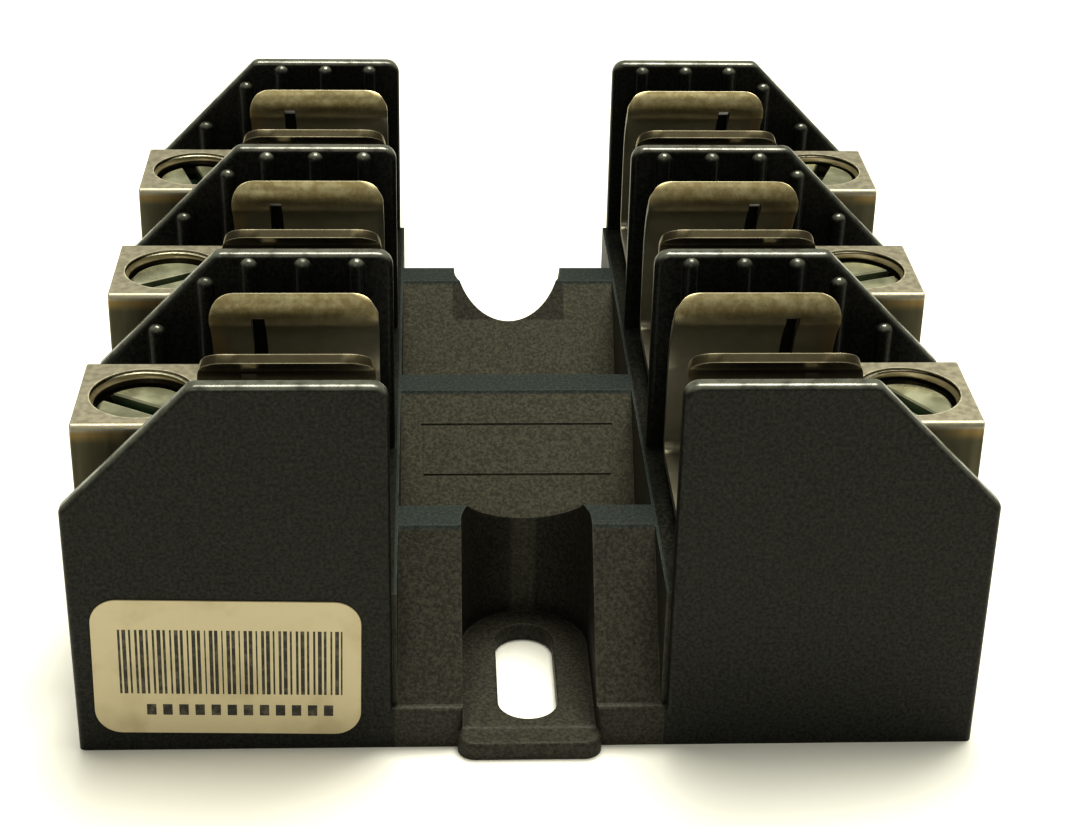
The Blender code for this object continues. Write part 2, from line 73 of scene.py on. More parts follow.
SIDES = {"left": -1, "right": 1}
lug_low, lug_high = box_mm("box_lug_right_middle")
clip_low, clip_high = box_mm("fuse_clip_right_middle")
spring_low, spring_high = box_mm("reinforcing_spring_right_middle")
screw_low, screw_high = box_mm("terminal_screw_right_middle")
pin_low, pin_high = box_mm("clip_screw_right_middle")
label_low, label_high = box_mm("rating_label")
_, mould_high = box_mm("base_moulding")

PITCH = box_mm("box_lug_right_rear")[0][1] - lug_low[1]
POLES = {"front": -PITCH, "middle": 0.0, "rear": PITCH}
HALF_LENGTH = mould_high[0]
WALL_TOP = mould_high[2]
WALL = 1.5
END_Y = 1.5 * PITCH + WALL / 2
FOOT_TIP_Y = mould_high[1]
SCREW_X = (screw_low[0] + screw_high[0]) / 2
print(f"pitch {PITCH:.2f} mm, walls {2 * HALF_LENGTH:.1f} mm long and {WALL_TOP:.1f} mm high")

# %% [markdown]
# ## Surfaces from arrays
#
# Nearly everything here is one of two things: an outline pushed along an axis, or a
# profile turned about one. Both are a stack of closed rings with the same number of
# points, so a single function can join ring to ring with four-sided faces and close the
# two ends. The rings are whole numpy arrays. Blender only sees the finished mesh.
#
# An outline is written as corners with a radius, because that is how a drawing gives it.

# %% Outlines
def unit(vectors):
    """The same vectors, each divided by its length."""
    return vectors / np.linalg.norm(vectors, axis=-1, keepdims=True)


def rounded(corners, steps=6):
    """Outline through (u, v, radius) corners.

    Each arc's centre lies on the line that halves the corner, at radius / sin(half the
    corner's angle). Its points are centre + radius * (cos t, sin t).
    """
    corners = np.array(corners, float)
    here, radius = corners[:, :2], corners[:, 2:]
    back = unit(np.roll(here, 1, axis=0) - here)
    on = unit(np.roll(here, -1, axis=0) - here)
    half = np.arccos(np.clip((back * on).sum(1, keepdims=True), -1, 1)) / 2
    centre = here + unit(back + on) * radius / np.sin(half)
    first = here + back * radius / np.tan(half) - centre
    last = here + on * radius / np.tan(half) - centre
    start = np.arctan2(first[:, 1:], first[:, :1])
    turn = np.arctan2(last[:, 1:], last[:, :1]) - start
    turn = (turn + np.pi) % (2 * np.pi) - np.pi
    angle = start + turn * np.linspace(0, 1, steps + 1)
    points = centre[:, None] + radius[:, None] * np.stack([np.cos(angle), np.sin(angle)], -1)
    points = points.reshape(-1, 2)
    apart = np.linalg.norm(points - np.roll(points, 1, axis=0), axis=1) > 1e-5
    return points[apart]


def inset(outline, depth):
    """The outline moved inwards: each point goes along its mitre by depth / cos(half turn)."""
    edge = np.roll(outline, -1, axis=0) - outline
    normal = unit(np.stack([-edge[:, 1], edge[:, 0]], -1))
    mitre = unit(normal + np.roll(normal, 1, axis=0))
    reach = 1 / np.maximum((mitre * normal).sum(1, keepdims=True), 0.3)
    ahead = np.roll(outline, -1, axis=0)
    area = (outline[:, 0] * ahead[:, 1] - ahead[:, 0] * outline[:, 1]).sum()
    return outline + mitre * reach * depth * np.sign(area)


def stand(outline, axis, place):
    """The flat outline in space, across the named axis at that place."""
    u, v = outline[:, 0], outline[:, 1]
    w = np.full(len(outline), place)
    return np.stack({"X": (w, u, v), "Y": (u, w, v), "Z": (u, v, w)}[axis], -1)


# %% Rings and shells
def loft(rings):
    """Closed shell through a stack of closed rings: (points, faces).

    Point (i, j) is ring i at step j. Faces join (i, j), (i, j+1), (i+1, j+1), (i+1, j).
    """
    rings = np.array(rings)
    count, steps = rings.shape[:2]
    index = np.arange(count * steps).reshape(count, steps)
    a, b = index[:-1], index[1:]
    sides = np.stack([a, np.roll(a, -1, axis=1), np.roll(b, -1, axis=1), b], -1).reshape(-1, 4)
    faces = sides.tolist() + [index[0][::-1].tolist(), index[-1].tolist()]
    points = rings.reshape(-1, 3)
    corner = points[sides[:, 0]]
    across = np.cross(points[sides[:, 2]] - corner, points[sides[:, 3]] - points[sides[:, 1]])
    middle = points[sides].mean(1) - points.mean(0)
    if (across * middle).sum() < 0:
        faces = [face[::-1] for face in faces]
    return points, faces


def pushed(outline, axis, low, high, edge=0.0, steps=4):
    """Outline pushed along an axis, its two ends rounded.

    At turn t of the rounding the outline is inset by edge * (1 - sin t) and lies
    edge * (1 - cos t) in from the end.
    """
    turn = np.linspace(0, np.pi / 2, steps + 1 if edge else 1)
    depths = edge * (1 - np.cos(turn))
    insets = edge * (1 - np.sin(turn))
    if not edge:
        insets = np.zeros(1)
    start = [stand(inset(outline, i), axis, low + d) for i, d in zip(insets, depths)]
    end = [stand(inset(outline, i), axis, high - d) for i, d in zip(insets, depths)]
    return loft(start + end[::-1])


def flared(outline, axis, low, high, mouth):
    """Cutter whose ends open out in a quarter round, for a hole with rounded rims."""
    turn = np.linspace(0, np.pi / 2, 5)
    out = -mouth * (1 - np.sin(turn))
    depths = mouth * (1 - np.cos(turn))
    rings = [stand(inset(outline, -mouth), axis, low - 1.0)]
    rings += [stand(inset(outline, i), axis, low + d) for i, d in zip(out, depths)]
    rings += [stand(inset(outline, i), axis, high - d) for i, d in zip(out[::-1], depths[::-1])]
    rings.append(stand(inset(outline, -mouth), axis, high + 1.0))
    return loft(rings)


def turned(profile, sides, centre=(0.0, 0.0)):
    """Profile of (radius, z) pairs turned about a vertical axis: (r cos a, r sin a, z)."""
    profile = np.array(profile, float)
    angle = np.linspace(0, 2 * np.pi, sides, endpoint=False)
    x = centre[0] + profile[:, :1] * np.cos(angle)
    y = centre[1] + profile[:, :1] * np.sin(angle)
    z = np.repeat(profile[:, 1:], sides, axis=1)
    return loft(np.stack([x, y, z], -1))


# %% [markdown]
# ## Meshes, cuts and finishing touches
#
# Shells become a mesh, and a Boolean joins or cuts meshes. The modifier is applied at
# once, by reading the object as it is evaluated, so that each step starts from a plain
# mesh. Shading is smooth except over sharp angles, with normals weighted by face area,
# which keeps big flat faces flat right up to their rounded edges.

# %% Meshes
def mesh_of(name, shells):
    """One mesh, in metres, from a list of (points, faces) shells in millimetres."""
    points, faces, offset = [], [], 0
    for shell_points, shell_faces in shells:
        points.append(shell_points)
        faces += [[corner + offset for corner in face] for face in shell_faces]
        offset += len(shell_points)
    mesh = bpy.data.meshes.new(name)
    mesh.from_pydata((np.concatenate(points) * MM).tolist(), [], faces)
    mesh.validate()
    return mesh


def new_object(name, mesh):
    """Object at the origin that shows the mesh."""
    obj = bpy.data.objects.new(name, mesh)
    bpy.context.scene.collection.objects.link(obj)
    return obj


def bake(obj):
    """Replace the object's mesh by what its modifiers make of it."""
    depsgraph = bpy.context.evaluated_depsgraph_get()
    mesh = bpy.data.meshes.new_from_object(obj.evaluated_get(depsgraph))
    obj.modifiers.clear()
    obj.data = mesh


def combine(obj, shells, operation="DIFFERENCE"):
    """Cut the object with shells, or join them to it, and keep the result."""
    tool = new_object("tool", mesh_of("tool", shells))
    modifier = obj.modifiers.new("combine", "BOOLEAN")
    modifier.object = tool
    modifier.operation = operation
    bake(obj)
    bpy.data.objects.remove(tool)


def soften(obj, width, steps, angle=35):
    """Round every edge sharper than the angle by a width in millimetres."""
    modifier = obj.modifiers.new("soften", "BEVEL")
    modifier.width = width * MM
    modifier.segments = steps
    modifier.limit_method = "ANGLE"
    modifier.angle_limit = math.radians(angle)
    modifier.miter_outer = "MITER_ARC"
    bake(obj)


def weld(obj, distance):
    """Merge points that lie closer than a distance in millimetres."""
    modifier = obj.modifiers.new("weld", "WELD")
    modifier.merge_threshold = distance * MM
    bake(obj)


def smooth(mesh, angle=35):
    """Smooth shading, except across edges sharper than the angle."""
    mesh.shade_smooth()
    mesh.set_sharp_from_angle(angle=math.radians(angle))


def even_shading(obj):
    """Normals weighted by face area, so that flat faces look flat."""
    modifier = obj.modifiers.new("even_shading", "WEIGHTED_NORMAL")
    modifier.keep_sharp = True


def copy_mesh(mesh, side, y, name):
    """The mesh of the right middle place, moved to another one.

    The left places are the right ones turned half way round the vertical.
    """
    copy = mesh.copy()
    copy.name = name
    turn = Matrix.Rotation(math.pi if side < 0 else 0.0, 4, "Z")
    copy.transform(Matrix.Translation((0.0, y * MM, 0.0)) @ turn)
    return copy


# %% [markdown]
# ## Camera
#
# The holder is seen from in front and above, a little left of its middle, with a long
# lens from a hand's length away. The camera's place is measured from the middle of the
# footprint. Its turn is built the way a tripod head makes it: pan about the vertical,
# then tilt, then roll.

# %% Camera
CAMERA_PLACE = (-7.87, -179.62, 106.59)
PAN, TILT, ROLL = -3.03, -28.06, -1.24
LENS = 75.1


def tripod(pan, tilt, roll):
    """Camera rotation: a camera that looks along +Y, rolled, tilted, then panned."""
    level = Matrix.Rotation(math.radians(90), 4, "X")
    turn = Matrix.Rotation(math.radians(pan), 4, "Z")
    turn = turn @ Matrix.Rotation(math.radians(tilt), 4, "X")
    return turn @ Matrix.Rotation(math.radians(roll), 4, "Y") @ level


lens = bpy.data.cameras.new("camera")
lens.lens = LENS
lens.sensor_width = 36.0
lens.clip_start = 0.005
camera = bpy.data.objects.new("camera", lens)
bpy.context.scene.collection.objects.link(camera)
camera.matrix_world = Matrix.Translation([c * MM for c in CAMERA_PLACE]) @ tripod(PAN, TILT, ROLL)
bpy.context.scene.camera = camera
print("camera at", CAMERA_PLACE, "mm, lens", LENS, "mm")

# %% [markdown]
# ## Shader helpers
#
# A material is a small chain of nodes. These helpers keep the chains short to read: one
# makes any node and fills its sockets, and the others name the few patterns that the
# finishes share. All patterns read Object coordinates, which are metres here, so a scale
# of 1000 gives one pattern cell per millimetre.

# %% Shader helpers
class Finish:
    """A material under construction, with its Principled shader."""

    def __init__(self, name, metallic=0.0, **sockets):
        self.material = bpy.data.materials.new(name)
        self.material.use_nodes = True
        self.tree = self.material.node_tree
        self.shader = self.tree.nodes["Principled BSDF"]
        self.shader.inputs["Metallic"].default_value = metallic
        for socket, value in sockets.items():
            self.shader.inputs[socket.replace("_", " ")].default_value = value
        self.place = self.node("TexCoord").outputs["Object"]

    def node(self, kind, sockets=None, **properties):
        """New node with its properties set and its sockets linked or filled."""
        made = self.tree.nodes.new("ShaderNode" + kind)
        for name, value in properties.items():
            setattr(made, name, value)
        for socket, value in (sockets or {}).items():
            if isinstance(value, bpy.types.NodeSocket):
                self.tree.links.new(value, made.inputs[socket])
            else:
                made.inputs[socket].default_value = value
        return made

    def axes(self):
        """X, Y and Z of the place, in metres."""
        return self.node("SeparateXYZ", {0: self.place}).outputs

    def normal(self):
        """X, Y and Z of the true normal."""
        return self.node("SeparateXYZ", {0: self.node("NewGeometry").outputs["Normal"]}).outputs

    def sum(self, operation, *values):
        """A Math node on sockets or numbers."""
        return self.node("Math", dict(enumerate(values)), operation=operation).outputs[0]

    def from_pole(self, y):
        """How far a place lies from the middle of its own pole, along Y."""
        pole = self.sum("MULTIPLY", self.sum("ROUND", self.sum("DIVIDE", y, PITCH * MM)), PITCH * MM)
        return self.sum("SUBTRACT", y, pole)

    def fade(self, place, ends):
        """0 at the first end and 1 at the second, both in millimetres."""
        return self.ramp(place, ends[0] * MM, ends[1] * MM)

    def under(self, z, top, start, end):
        """0 down to a start under the top, 1 from an end under it, both in millimetres."""
        return self.ramp(z, (top - start) * MM, (top - end) * MM)

    def noise(self, scale, detail=2.0, stretch=(1, 1, 1), rough=0.5):
        """Noise from 0 to 1, its cells stretched along an axis where that is under 1."""
        spread = self.node("Mapping", {0: self.place, "Scale": stretch}).outputs[0]
        sockets = {"Vector": spread, "Scale": scale, "Detail": detail, "Roughness": rough}
        return self.node("TexNoise", sockets).outputs["Fac"]

    def ramp(self, value, low, high, start=0.0, end=1.0):
        """Value mapped from low..high to start..end, with an eased middle."""
        sockets = {0: value, 1: low, 2: high, 3: start, 4: end}
        return self.node("MapRange", sockets, interpolation_type="SMOOTHSTEP").outputs[0]

    def mix(self, share, first, second):
        """Blend of two colours."""
        made = self.node("Mix", data_type="RGBA")
        for socket, value in ((0, share), (6, first), (7, second)):
            if isinstance(value, bpy.types.NodeSocket):
                self.tree.links.new(value, made.inputs[socket])
            else:
                made.inputs[socket].default_value = value if socket == 0 else (*value, 1.0)
        return made.outputs[2]

    def edges(self, radius):
        """1 at edges and 0 on flat faces: how far a rounded normal strays from the true one."""
        soft = self.node("Bevel", {"Radius": radius * MM}, samples=4).outputs[0]
        true = self.node("NewGeometry").outputs["Normal"]
        dot = self.node("VectorMath", {0: soft, 1: true}, operation="DOT_PRODUCT").outputs["Value"]
        return self.ramp(dot, 0.995, 0.80, 0.0, 1.0)

    def bump(self, height, distance, strength=1.0):
        """Bump node over a height pattern, in millimetres."""
        sockets = {"Height": height, "Distance": distance * MM, "Strength": strength}
        return self.node("Bump", sockets).outputs[0]

    def use(self, **sockets):
        """Link patterns to the shader's own sockets."""
        for socket, value in sockets.items():
            self.tree.links.new(value, self.shader.inputs[socket.replace("_", " ")])
        return self.material


# %% [markdown]
# ## Floor and light
#
# The holder stands on a sheet of white paper that is lit until it is blown out. One broad
# soft light hangs overhead, a little behind the holder and to its right. A much weaker one
# in front keeps the black walls readable, and the sky fills the rest. The wide overhead
# source is what draws the thin white lines on the rounded tops of the walls.

# %% Floor and light
def make_floor():
    """A flat sheet, far larger than the holder, just under it."""
    paper = Finish("paper", Roughness=0.7)
    shade = paper.noise(6.0, 2.0)
    paper.use(Base_Color=paper.mix(shade, (0.90, 0.90, 0.89), (0.94, 0.94, 0.93)))
    reach = 2000.0
    floor = new_object("floor", mesh_of("floor", [(
        np.array([[-reach, -reach, 0.0], [reach, -reach, 0.0], [reach, reach, 0.0], [-reach, reach, 0.0]]),
        [[0, 1, 2, 3]])]))
    floor.data.materials.append(paper.material)


WARM = (1.0, 0.975, 0.83)


def soft_light(name, place, aim, size, power):
    """Square area light in millimetres, turned to face its aim."""
    data = bpy.data.lights.new(name, "AREA")
    data.color = WARM
    data.size = size * MM
    data.energy = power
    light = bpy.data.objects.new(name, data)
    bpy.context.scene.collection.objects.link(light)
    place, aim = np.array(place) * MM, np.array(aim) * MM
    light.location = place
    light.rotation_euler = Vector(aim - place).to_track_quat("-Z", "Y").to_euler()


def make_sky(strength):
    """Even pale light from all round."""
    world = bpy.data.worlds.new("sky")
    world.use_nodes = True
    background = world.node_tree.nodes["Background"]
    background.inputs["Color"].default_value = (*WARM, 1.0)
    background.inputs["Strength"].default_value = strength
    bpy.context.scene.world = world


make_floor()
soft_light("overhead", (90, 210, 960), (0, 0, 0), 560, 10.5)
soft_light("front_fill", (-150, -620, 420), (0, 0, 10), 260, 0.35)
make_sky(0.26)
bpy.context.scene.view_settings.view_transform = "Standard"
bpy.context.scene.view_settings.look = "High Contrast"

# %% [markdown]
# ## The moulding
#
# The base is one piece of black thermoset. It is easiest to think of as four barrier
# plates that cross two stepped blocks and a ridged web. Each plate is an outline pushed
# through its thickness with rounded edges, which catch the light. The blocks and the web
# have flat faces, so they are joined first, the screw channels are cut out, and a bevel
# rounds all their edges at once. Then the plates, ribs and feet are joined on, and the
# hollows, slots and screw holes are cut last, with cutters whose mouths flare.

# %% Barrier plates
SHOULDER_Z, SLOPE_TOP_X, INNER_X = 21.8, 25.3, 10.8
SILL_Z = 3.6
CHANNEL_R, CHANNEL_FLOOR, CHANNEL_LENGTH = 5.3, 1.6, 17.1
BELOW = -0.6


def plate_outline(notched):
    """Outline of a plate across Y: two sloped walls joined by a sill, notched at an end."""
    sill = SILL_Z if notched else SILL_Z - 0.2
    wall = [
        (INNER_X, sill, 0.0), (INNER_X, WALL_TOP, 1.3), (SLOPE_TOP_X, WALL_TOP, 1.1),
        (HALF_LENGTH, SHOULDER_Z, 0.9), (HALF_LENGTH, BELOW, 0.0),
    ]
    notch = [(CHANNEL_R, CHANNEL_FLOOR, 0.0), (CHANNEL_R, SILL_Z, 0.0)] if notched else []
    right = notch + wall
    return rounded([(-u, v, r) for u, v, r in right[::-1]] + right, 8)


def barrier_plates():
    """The four plates, a pole's pitch apart."""
    places = (np.arange(4) - 1.5) * PITCH
    return [
        pushed(plate_outline(k in (0, 3)), "Y", y - WALL / 2, y + WALL / 2, 0.5, 5)
        for k, y in enumerate(places)
    ]


# %% Blocks, web and channels
BLOCK_INNER_X, BLOCK_OUTER_X, STEP_X = 10.4, 35.1, 24.5
CLIP_SEAT_Z, LUG_SEAT_Z = 13.9, 10.2
RIDGE_HALF, RIDGE_RUN = 1.55, 10.35


def block(side):
    """Stepped block under the clips and lugs of one side."""
    outline = np.array([
        (side * BLOCK_INNER_X, BELOW), (side * BLOCK_OUTER_X, BELOW), (side * BLOCK_OUTER_X, LUG_SEAT_Z),
        (side * STEP_X, LUG_SEAT_Z), (side * STEP_X, CLIP_SEAT_Z), (side * BLOCK_INNER_X, CLIP_SEAT_Z)])
    return pushed(outline, "Y", -END_Y + WALL / 2, END_Y - WALL / 2)


def web():
    """Web across the middle: z falls at 45 degrees from the flat top of each ridge."""
    end = PITCH + RIDGE_HALF + RIDGE_RUN
    y = [-end, -PITCH - RIDGE_HALF, -PITCH + RIDGE_HALF, -PITCH / 2, -RIDGE_HALF]
    y = np.array(y + [-v for v in y[::-1]])
    away = np.abs(y[:, None] - np.array(list(POLES.values()))).min(1)
    z = CLIP_SEAT_Z - np.maximum(away - RIDGE_HALF, 0.0)
    outline = np.stack([y, z], -1)
    outline = np.concatenate([outline, [[end, BELOW], [-end, BELOW]]])
    return pushed(outline, "X", -BLOCK_INNER_X - 0.2, BLOCK_INNER_X + 0.2)


def channel(end):
    """Round-ended channel, cut down to the level of the foot."""
    middle = end * (END_Y - CHANNEL_LENGTH + CHANNEL_R)
    angle = np.linspace(0, np.pi, 33)
    curve = np.stack([CHANNEL_R * np.cos(angle), middle - end * CHANNEL_R * np.sin(angle)], -1)
    mouth = [[-CHANNEL_R, end * (END_Y + 3)], [CHANNEL_R, end * (END_Y + 3)]]
    return pushed(np.concatenate([curve, mouth]), "Z", CHANNEL_FLOOR, CLIP_SEAT_Z + 3)


# %% Ribs and feet
RIB_X = (13.8, 18.2, 22.6, 26.2, 30.4)
RIB_R = 0.75
FOOT_HALF, FOOT_Z, FOOT_CORNER = 5.7, 1.5, 1.4


def rib(x, y, facing):
    """Half-round rib with a domed top, sunk a little into its wall.

    Ring at height h: a half circle of radius r, where r = RIB_R up to the dome and
    RIB_R * cos t over it, at z = top - RIB_R * (1 - sin t).
    """
    slope = max(0.0, abs(x) + RIB_R - SLOPE_TOP_X) / (HALF_LENGTH - SLOPE_TOP_X)
    top = WALL_TOP - (WALL_TOP - SHOULDER_Z) * slope - 0.35
    turn = np.linspace(0, 1.35, 5)
    radius = np.concatenate([[RIB_R], RIB_R * np.cos(turn)])
    height = np.concatenate([[LUG_SEAT_Z - 1.0], top - RIB_R * (1 - np.sin(turn))])
    angle = np.linspace(0, np.pi, 9)
    u = np.concatenate([np.cos(angle), [-1.0, 1.0]])
    v = np.concatenate([np.sin(angle), [-0.6, -0.6]])
    rings = np.stack([
        x + radius[:, None] * u, y - facing * radius[:, None] * v, np.repeat(height[:, None], len(u), 1),
    ], -1)
    return loft(rings)


def ribs():
    """The ribs on both walls of every bay."""
    half = (PITCH - WALL) / 2
    return [
        rib(side * x, y + facing * half, facing)
        for y in POLES.values() for side in SIDES.values() for facing in (-1, 1) for x in RIB_X
    ]


def foot(end):
    """Foot that stands out under an end wall."""
    inner = end * (END_Y - 1.0)
    outline = rounded([
        (-FOOT_HALF, inner, 0.0), (FOOT_HALF, inner, 0.0),
        (FOOT_HALF, end * FOOT_TIP_Y, FOOT_CORNER), (-FOOT_HALF, end * FOOT_TIP_Y, FOOT_CORNER)])
    return pushed(outline, "Z", BELOW - 0.4, FOOT_Z, 0.3)


# %% Hollows, slots and holes
SLOT_R, SLOT_START, SLOT_END = 2.4, 1.55, 15.0
POCKET = (13.0, 22.0, 32.4, 9.7)
POCKET_TOPS = (7.0, 10.4)
FRAME_HALF_X, FRAME_HALF_UP, FRAME_Y = 8.6, 2.45, -5.5
GROOVE_WIDTH, GROOVE_DEPTH = 0.22, 0.1
HOLE_R = 2.4
PIN_X = (pin_low[0] + pin_high[0]) / 2


def slot_cutter(end):
    """Slot through a foot, its upper rim rounded."""
    near, far = END_Y - SLOT_START, END_Y - SLOT_END
    outline = rounded([
        (-SLOT_R, end * near, SLOT_R * 0.999), (SLOT_R, end * near, SLOT_R * 0.999),
        (SLOT_R, end * far, SLOT_R * 0.999), (-SLOT_R, end * far, SLOT_R * 0.999)], 12)
    return flared(outline, "Z", 0.0, CHANNEL_FLOOR, 0.2)


def pocket_cutters(side, y):
    """Hollow under a clip and its lug: shallow outside, deeper inside, rounded corners."""
    inner, step, outer, half = POCKET
    cutters = []
    for far, top in ((outer, POCKET_TOPS[0]), (step, POCKET_TOPS[1])):
        outline = rounded([
            (side * inner, y - half, 0.8), (side * far, y - half, 0.8),
            (side * far, y + half, 0.8), (side * inner, y + half, 0.8)], 4)
        cutters.append(pushed(outline, "Z", -2.0, top, 0.5, 3))
    return cutters


def middle_pocket():
    """Hollow under the middle ridge, with the ridge's own shape."""
    outline = rounded([
        (-8.0, -2.0, 0.0), (8.0, -2.0, 0.0), (8.0, 2.0, 0.6), (1.2, 9.0, 0.6),
        (-1.2, 9.0, 0.6), (-8.0, 2.0, 0.6)], 4)
    return pushed(outline, "X", -8.4, 8.4, 0.5, 3)


def groove_cutter(x_low, x_high, up_low, up_high, depth=GROOVE_DEPTH):
    """Shallow groove in the front flank of the middle ridge, which falls at 45 degrees.

    A flat bar is turned about X on to the flank. A point that lies "up" along the slope and
    "out" from it goes to y = y0 + (up - out) / root 2 and z = z0 + (up + out) / root 2.
    """
    outline = np.array([(x_low, up_low), (x_high, up_low), (x_high, up_high), (x_low, up_high)])
    points, faces = pushed(outline, "Z", -depth, 1.0)
    x, up, out = points.T
    y = FRAME_Y + (up - out) / math.sqrt(2)
    z = CLIP_SEAT_Z + RIDGE_HALF + FRAME_Y + (up + out) / math.sqrt(2)
    return np.stack([x, y, z], -1), faces


def frame_cutters():
    """The four grooves of an empty frame, in two pairs that meet at its corners."""
    u, v, w = FRAME_HALF_X, FRAME_HALF_UP, GROOVE_WIDTH
    level = [groove_cutter(-u, u, v - w, v), groove_cutter(-u, u, -v, -v + w)]
    end, depth = v - w / 2, 0.9 * GROOVE_DEPTH
    upright = [groove_cutter(-u - 0.02, -u + w, -end, end, depth),
               groove_cutter(u - w, u + 0.02, -end, end, depth)]
    return level, upright


def hole_cutter(side, y):
    """Clearance hole for a clip screw."""
    return turned([(HOLE_R, 9.0), (HOLE_R, CLIP_SEAT_Z + 1.0)], 32, (side * PIN_X, y))


# %% [markdown]
# ### The moulding's finish
#
# Black thermoset isn't one black. The barrier walls are smooth, with a low sheen, a fine
# mottle and a few pale specks. The web is grainier, matt and a touch brown, and its paler
# colour is partly painted light from above. Its slopes between the ridges are painted paler
# than its two ends, which is painted light, and the flat tops of the ridges are painted
# bluer, which is a painted reflection. Place alone decides which of these shows. The tops
# of walls and ribs are painted paler, a painted highlight, and made shinier, and the
# direction that a face looks in decides that.

# %% Thermoset
# Each pair is where a finish or a painted light is still absent and where it is full, in millimetres.
WEB_SIDE, WEB_TOP = (10.72, 10.62), (14.3, 14.1)
CHANNEL_SIDE, CHANNEL_END = 5.45, 19.2
SLOPES_END, RIDGE_TOPS, WALL_TOPS = (25.5, 25.2), (13.55, 13.75), (20.0, 21.5)


def thermoset():
    """Black moulded finish, with a grainy web between the blocks, painted light on the web and its slopes, a
    painted reflection on the ridge tops and a painted highlight on the tops.
    """
    f = Finish("thermoset")
    x, y, z = f.axes()
    across, along = f.sum("ABSOLUTE", x), f.sum("ABSOLUTE", y)
    inside = f.fade(across, WEB_SIDE)
    low = f.fade(z, WEB_TOP)
    web_area = f.sum("MULTIPLY", inside, low)
    cloud = f.noise(90.0, 3.0)
    grain = f.noise(3600.0, 3.0, rough=0.7)
    mottle = f.ramp(f.noise(3400.0, 2.0, rough=0.7), 0.30, 0.72)
    speck = f.ramp(f.noise(1500.0, 1.0), 0.74, 0.80)
    smooth_black = f.mix(mottle, (0.0095, 0.0105, 0.0098), (0.0360, 0.0362, 0.0315))
    smooth_black = f.mix(f.sum("MULTIPLY", speck, 0.5), smooth_black, (0.060, 0.058, 0.050))
    grains = f.ramp(grain, 0.32, 0.70)
    # The web's colour: grain, paler partly by painted light from above.
    web_black_and_painted_light = f.mix(grains, (0.026, 0.0255, 0.0210), (0.070, 0.067, 0.054))
    # Painted light: the slopes between the ridges are painted paler than the web's two ends.
    beside = f.sum("SUBTRACT", across, CHANNEL_SIDE * MM)
    beyond = f.sum("SUBTRACT", CHANNEL_END * MM, along)
    off_channel = f.ramp(f.sum("MAXIMUM", beside, beyond), 0.0, 0.1 * MM)
    slope = f.sum("MULTIPLY", off_channel, f.fade(along, SLOPES_END))
    painted_light_black = f.mix(grains, (0.052, 0.051, 0.041), (0.118, 0.114, 0.090))
    web_black_and_painted_light = f.mix(slope, web_black_and_painted_light, painted_light_black)
    # Painted reflection: the flat tops of the ridges are painted bluer.
    painted_reflection_black = f.mix(grains, (0.020, 0.027, 0.0270), (0.048, 0.062, 0.060))
    web_black_and_painted_light = f.mix(f.fade(z, RIDGE_TOPS), web_black_and_painted_light, painted_reflection_black)
    colour = f.mix(web_area, smooth_black, web_black_and_painted_light)
    # Painted highlight: up-facing faces near the tops of walls and ribs are painted paler, and the same mask
    # makes them shinier and less rough.
    up = f.normal()[2]
    topmost = f.sum("MULTIPLY", f.ramp(up, 0.20, 0.75), f.fade(z, WALL_TOPS))
    worn = f.sum("MULTIPLY", f.edges(0.25), f.ramp(f.noise(700.0, 3.0), 0.30, 0.60))
    colour = f.mix(f.sum("MULTIPLY", worn, 0.5), colour, (0.14, 0.135, 0.12))
    top_highlight_and_sheen = f.sum("MULTIPLY", topmost, f.ramp(f.noise(900.0, 3.0), 0.25, 0.60, 0.35, 1.0))
    colour = f.mix(f.sum("MULTIPLY", top_highlight_and_sheen, 0.35), colour, (0.30, 0.32, 0.27))
    rough = f.sum("ADD", f.ramp(cloud, 0.3, 0.7, 0.30, 0.40), f.sum("MULTIPLY", web_area, 0.16))
    rough = f.sum("SUBTRACT", rough, f.sum("MULTIPLY", top_highlight_and_sheen, 0.10))
    sheen = f.sum("ADD", f.sum("MULTIPLY", top_highlight_and_sheen, 0.8), 0.24)
    depth = f.sum("ADD", f.sum("MULTIPLY", web_area, 0.85), 0.15)
    return f.use(
        Base_Color=colour, Roughness=rough, Specular_IOR_Level=sheen,
        Normal=f.bump(f.sum("MULTIPLY", grain, depth), 0.05, 0.6))


# %% Join the moulding
def make_moulding():
    """The whole moulding as one mesh."""
    base = new_object("moulding", mesh_of("moulding", [block(-1), block(1)]))
    combine(base, [web()], "UNION")
    combine(base, [channel(-1), channel(1)])
    soften(base, 0.3, 3)
    combine(base, barrier_plates(), "UNION")
    combine(base, [foot(-1), foot(1)], "UNION")
    combine(base, ribs(), "UNION")
    reach = 60.0
    square = np.array([(-reach, -reach), (reach, -reach), (reach, reach), (-reach, reach)])
    combine(base, [pushed(square, "Z", -reach, 0.0)])
    combine(base, [slot_cutter(-1), slot_cutter(1), middle_pocket()])
    for grooves in frame_cutters():
        combine(base, grooves)
    for side in SIDES.values():
        for y in POLES.values():
            for cutter in pocket_cutters(side, y):
                combine(base, [cutter])
    combine(base, [hole_cutter(side, y) for side in SIDES.values() for y in POLES.values()])
    weld(base, 0.004)
    smooth(base.data)
    even_shading(base)
    base.data.materials.clear()
    base.data.materials.append(thermoset())
    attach(base, "base")
    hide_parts("base_moulding")
    print("moulding:", len(base.data.vertices), "points")


make_moulding()

# %% [markdown]
# ## Bent sheet
#
# A clip is a strip of plated sheet bent to a U, and its shape is a surface: one number
# runs along the strip, over the bends, and the other across it. The corners of the lips
# are rounded by drawing the strip in near its ends, and the split in each side is a
# column of faces left out. Solidify then gives the sheet its thickness and Bevel takes
# the sharpness off its edges, as tumbling does on the real ones.

